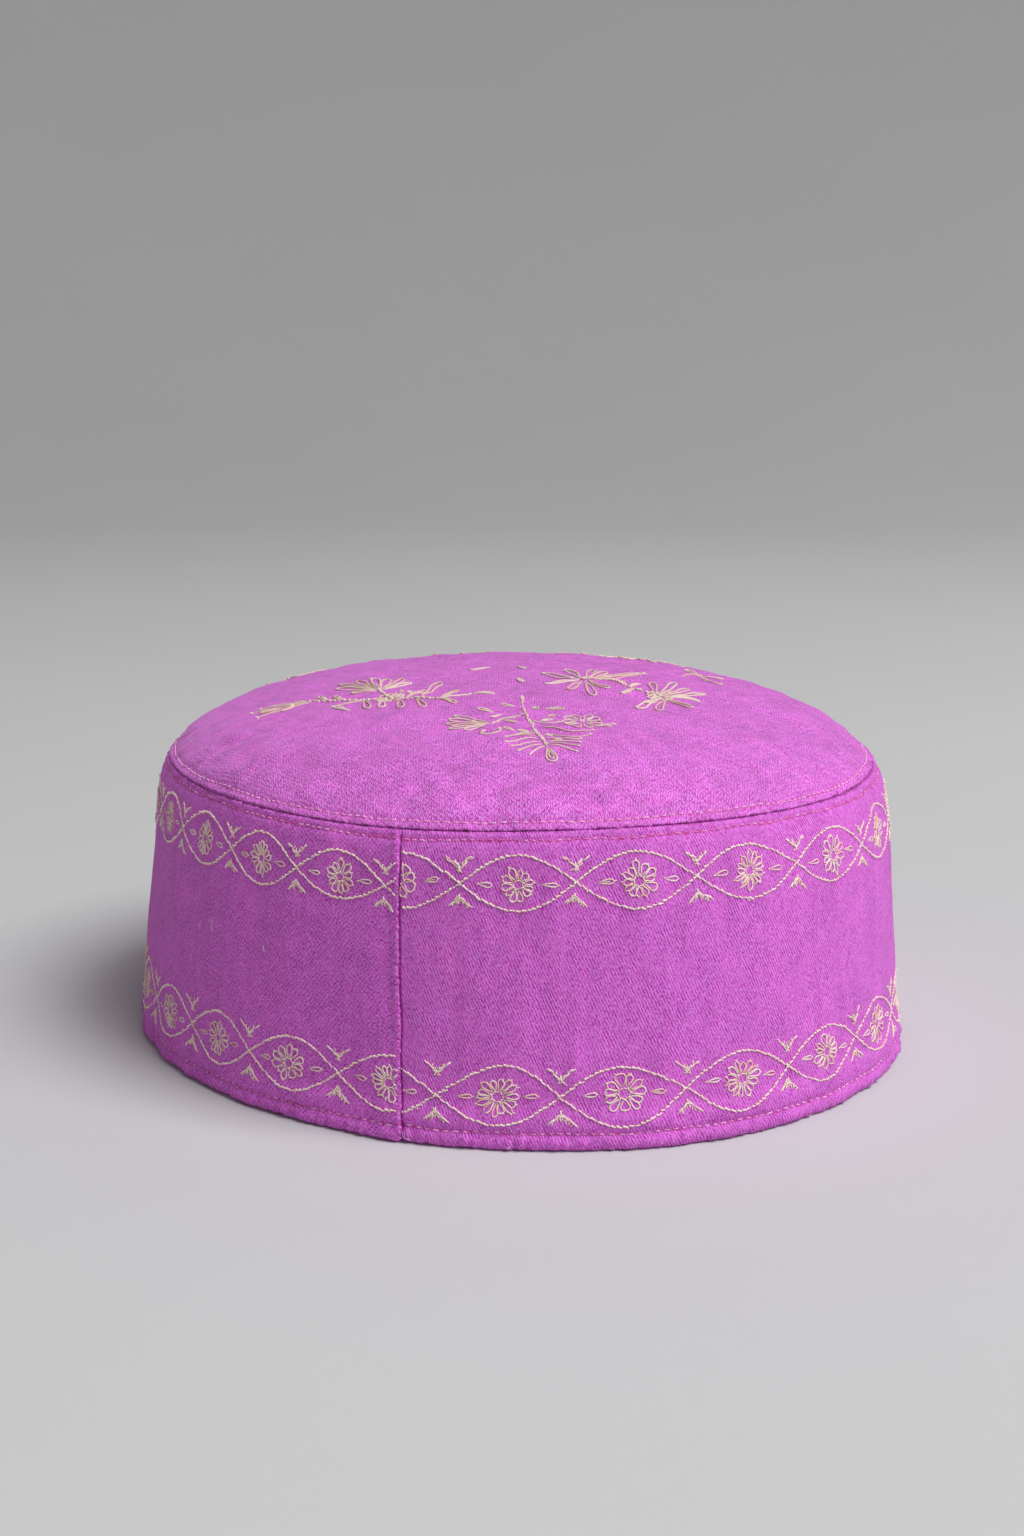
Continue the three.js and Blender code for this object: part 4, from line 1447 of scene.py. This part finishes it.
CROWN_WEAVE = {
    "lean": 114, "spacing": 0.57, "float": 1.4, "drift": 0.9, "waver": 0.8, "ridge": 1.0, "faint": 0.65,
    "dot": 1.4, "dotted": 0.85, "crest": 0.5, "valley": 0.6,
    "grain": 2.9, "grain_along": 1.05, "mealy": 2.9, "relief": 0.045, "round": True, "rows": [],
    "dark": srgb(186, 6, 176), "light": srgb(234, 150, 238), "pink": srgb(222, 96, 200),
    "row_thread_and_shade": srgb(204, 50, 136), "streak": 0.14, "sheen": 0.35, "sheen_tint": srgb(240, 180, 236),
    "blotch": 0.44, "clump": 0.55, "rosy": 0.35, "painted_seam_shade": srgb(140, 8, 120), "hatched": None,
}

# The camera, placed from the photo's perspective
CAMERA_PLACE = (-204.288, -457.458, 154.0)
CAMERA_PITCH_DOWN = 10.714
CAMERA_HEADING = 24.0
LENS = 50.0
LONG_SIDE = 36.0


def make_camera():
    data = bpy.data.cameras.new("camera")
    data.lens = LENS
    data.sensor_width = LONG_SIDE
    data.sensor_fit = "AUTO"
    data.clip_start = 0.01
    data.clip_end = 50.0
    made = bpy.data.objects.new("camera", data)
    made.location = [value * MM for value in CAMERA_PLACE]
    made.rotation_euler = (math.radians(90 - CAMERA_PITCH_DOWN), 0.0, math.radians(-CAMERA_HEADING))
    bpy.context.scene.collection.objects.link(made)
    bpy.context.scene.camera = made


def make_floor(material):
    """A pale floor that curves up into a wall far off, the same all round. Lengths are in metres here."""
    level, wall, rise, top = 1.6, 3.6, 2.0, 5.0
    profile = [(0.35, 0.0), (0.8, 0.0), (level, 0.0)]
    for t in np.linspace(0.1, 1, 10):
        bend = t * math.pi / 2
        profile.append((level + (wall - level) * math.sin(bend), rise * (1 - math.cos(bend))))
    profile.append((wall, top))
    count = 96
    angles = np.arange(count) * TURN / count
    rings = [np.stack([r * np.cos(angles), r * np.sin(angles), np.full(count, z)], -1) for r, z in profile]
    points = np.vstack([np.zeros((1, 3)), *rings]) / MM
    index, _, _ = quads_between(len(rings), count, False)
    ring = np.arange(count)
    fan = np.stack([np.zeros(count, int), 1 + ring, 1 + (ring + 1) % count], 1)
    faces = np.concatenate([(index[:, ::-1] + 1).ravel(), fan.ravel()])
    mesh = mesh_from("floor", points, faces, np.concatenate([np.full(len(index), 4), np.full(count, 3)]))
    mesh.materials.append(material)
    made = bpy.data.objects.new("floor", mesh)
    bpy.context.scene.collection.objects.link(made)


def area_light(name, azimuth, elevation, distance, size, power):
    """A square soft white light that looks at the cap. azimuth runs from its front (-Y) towards +X."""
    data = bpy.data.lights.new(name, "AREA")
    data.shape = "SQUARE"
    data.size = size
    data.energy = power
    made = bpy.data.objects.new(name, data)
    a, e = math.radians(azimuth), math.radians(elevation)
    place = np.array([math.sin(a) * math.cos(e), -math.cos(a) * math.cos(e), math.sin(e)]) * distance
    made.location = place + np.array([0, 0, 0.04])
    made.rotation_euler = (math.radians(90) - e, 0.0, a)
    bpy.context.scene.collection.objects.link(made)


def make_lights():
    area_light("key", azimuth=34, elevation=56, distance=3.0, size=1.8, power=91)
    area_light("top", azimuth=40, elevation=88, distance=3.0, size=2.0, power=8)
    world = bpy.data.worlds.new("world")
    world.use_nodes = True
    world.node_tree.nodes["Background"].inputs[0].default_value = (1.0, 1.0, 1.0, 1.0)
    world.node_tree.nodes["Background"].inputs[1].default_value = 0.05
    bpy.context.scene.world = world
    bpy.context.scene.view_settings.view_transform = "Standard"


make_camera()
make_floor(floor_material())
make_lights()

# The embroidery threads' darker tones lean pink: painted reflection of the magenta cloth over the threads'
# own pale gold. The crown's thread is paler still.
gold = thread_material("embroidery_thread", srgb(255, 247, 234), srgb(240, 194, 176), 0.4, 0.55)
pale_gold = thread_material("embroidery_thread_pale_pink_reflection", srgb(244, 226, 216), srgb(214, 176, 162), 0.55, 0.55)
rose = thread_material("seam_thread", srgb(255, 200, 248), srgb(208, 44, 146), 0.6, 0.5)
lint = thread_material("lint", srgb(255, 250, 252), srgb(232, 196, 226), 0.5, 0.5)

outside = [row for row in band_rows() if row[2] == "out"]
lengths = running_lengths(outside)
top_row = int(np.argmax([row[0] for row in outside]))
heights = [row[0] for row in outside[:top_row]]
BAND_WEAVE["rows"] = [float(np.interp(row, heights, lengths[:top_row])) for row in (HEM_ROW, BAND_ROW)]
BAND_WEAVE["edge"] = float(lengths[top_row])
CROWN_WEAVE["rows"] = [float(CROWN_REACH[-1]) - CROWN_ROW]
CROWN_WEAVE["edge"] = float(CROWN_REACH[-1])

band_weave = cloth_material("band_cloth", BAND_WEAVE)
band = make_band(band_weave)
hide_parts("band")
lap_fold = make_lap_fold(band_weave)
crown = make_crown(cloth_material("crown_cloth", CROWN_WEAVE))
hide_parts("crown")

upper_border = embroider_border("embroidery_upper", UPPER_LEFT, UPPER_RIGHT, UPPER_BORDER, 31, gold)
lower_border = embroider_border("embroidery_lower", LOWER_LEFT, LOWER_RIGHT, LOWER_BORDER, 41, gold)
sprays = embroider_crown("embroidery_crown", pale_gold, 71)

lap_arc = float(arc_at(LAP_ANGLE, MIDDLE_HALF_WIDTH))
strip_end = lap_arc + float(arc_at(TURN, MIDDLE_HALF_WIDTH))
crown_arc = float(arc_at(TURN, SEAM_HALF_WIDTH))


def middle_band_surface(arc, height):
    return band_surface(arc, height, MIDDLE_HALF_WIDTH)


loose = loose_bits("loose_threads", middle_band_surface, lint, 55)
# Rows of seam stitches: name, surface, start, end, level, seed, and the shades that the thread takes
SEAM_ROWS = [
    ("topstitch_hem", middle_band_surface, lap_arc + 2.6, strip_end + 1.0, HEM_ROW, 51, (0.4, 1.2)),
    ("topstitch_band", middle_band_surface, lap_arc + 0.5, strip_end - 0.4, BAND_ROW, 52, (-0.1, 0.9)),
    ("topstitch_crown", crown_rim_surface, 0.0, crown_arc, CROWN_ROW, 53, (0.6, 1.3)),
]
hem_row, band_row, crown_row = [stitch_row(*row, rose) for row in SEAM_ROWS]
lap_row = edge_stitches("lap_stitches", rose, 54)
fuzz("fuzz", fuzz_material(), 61)
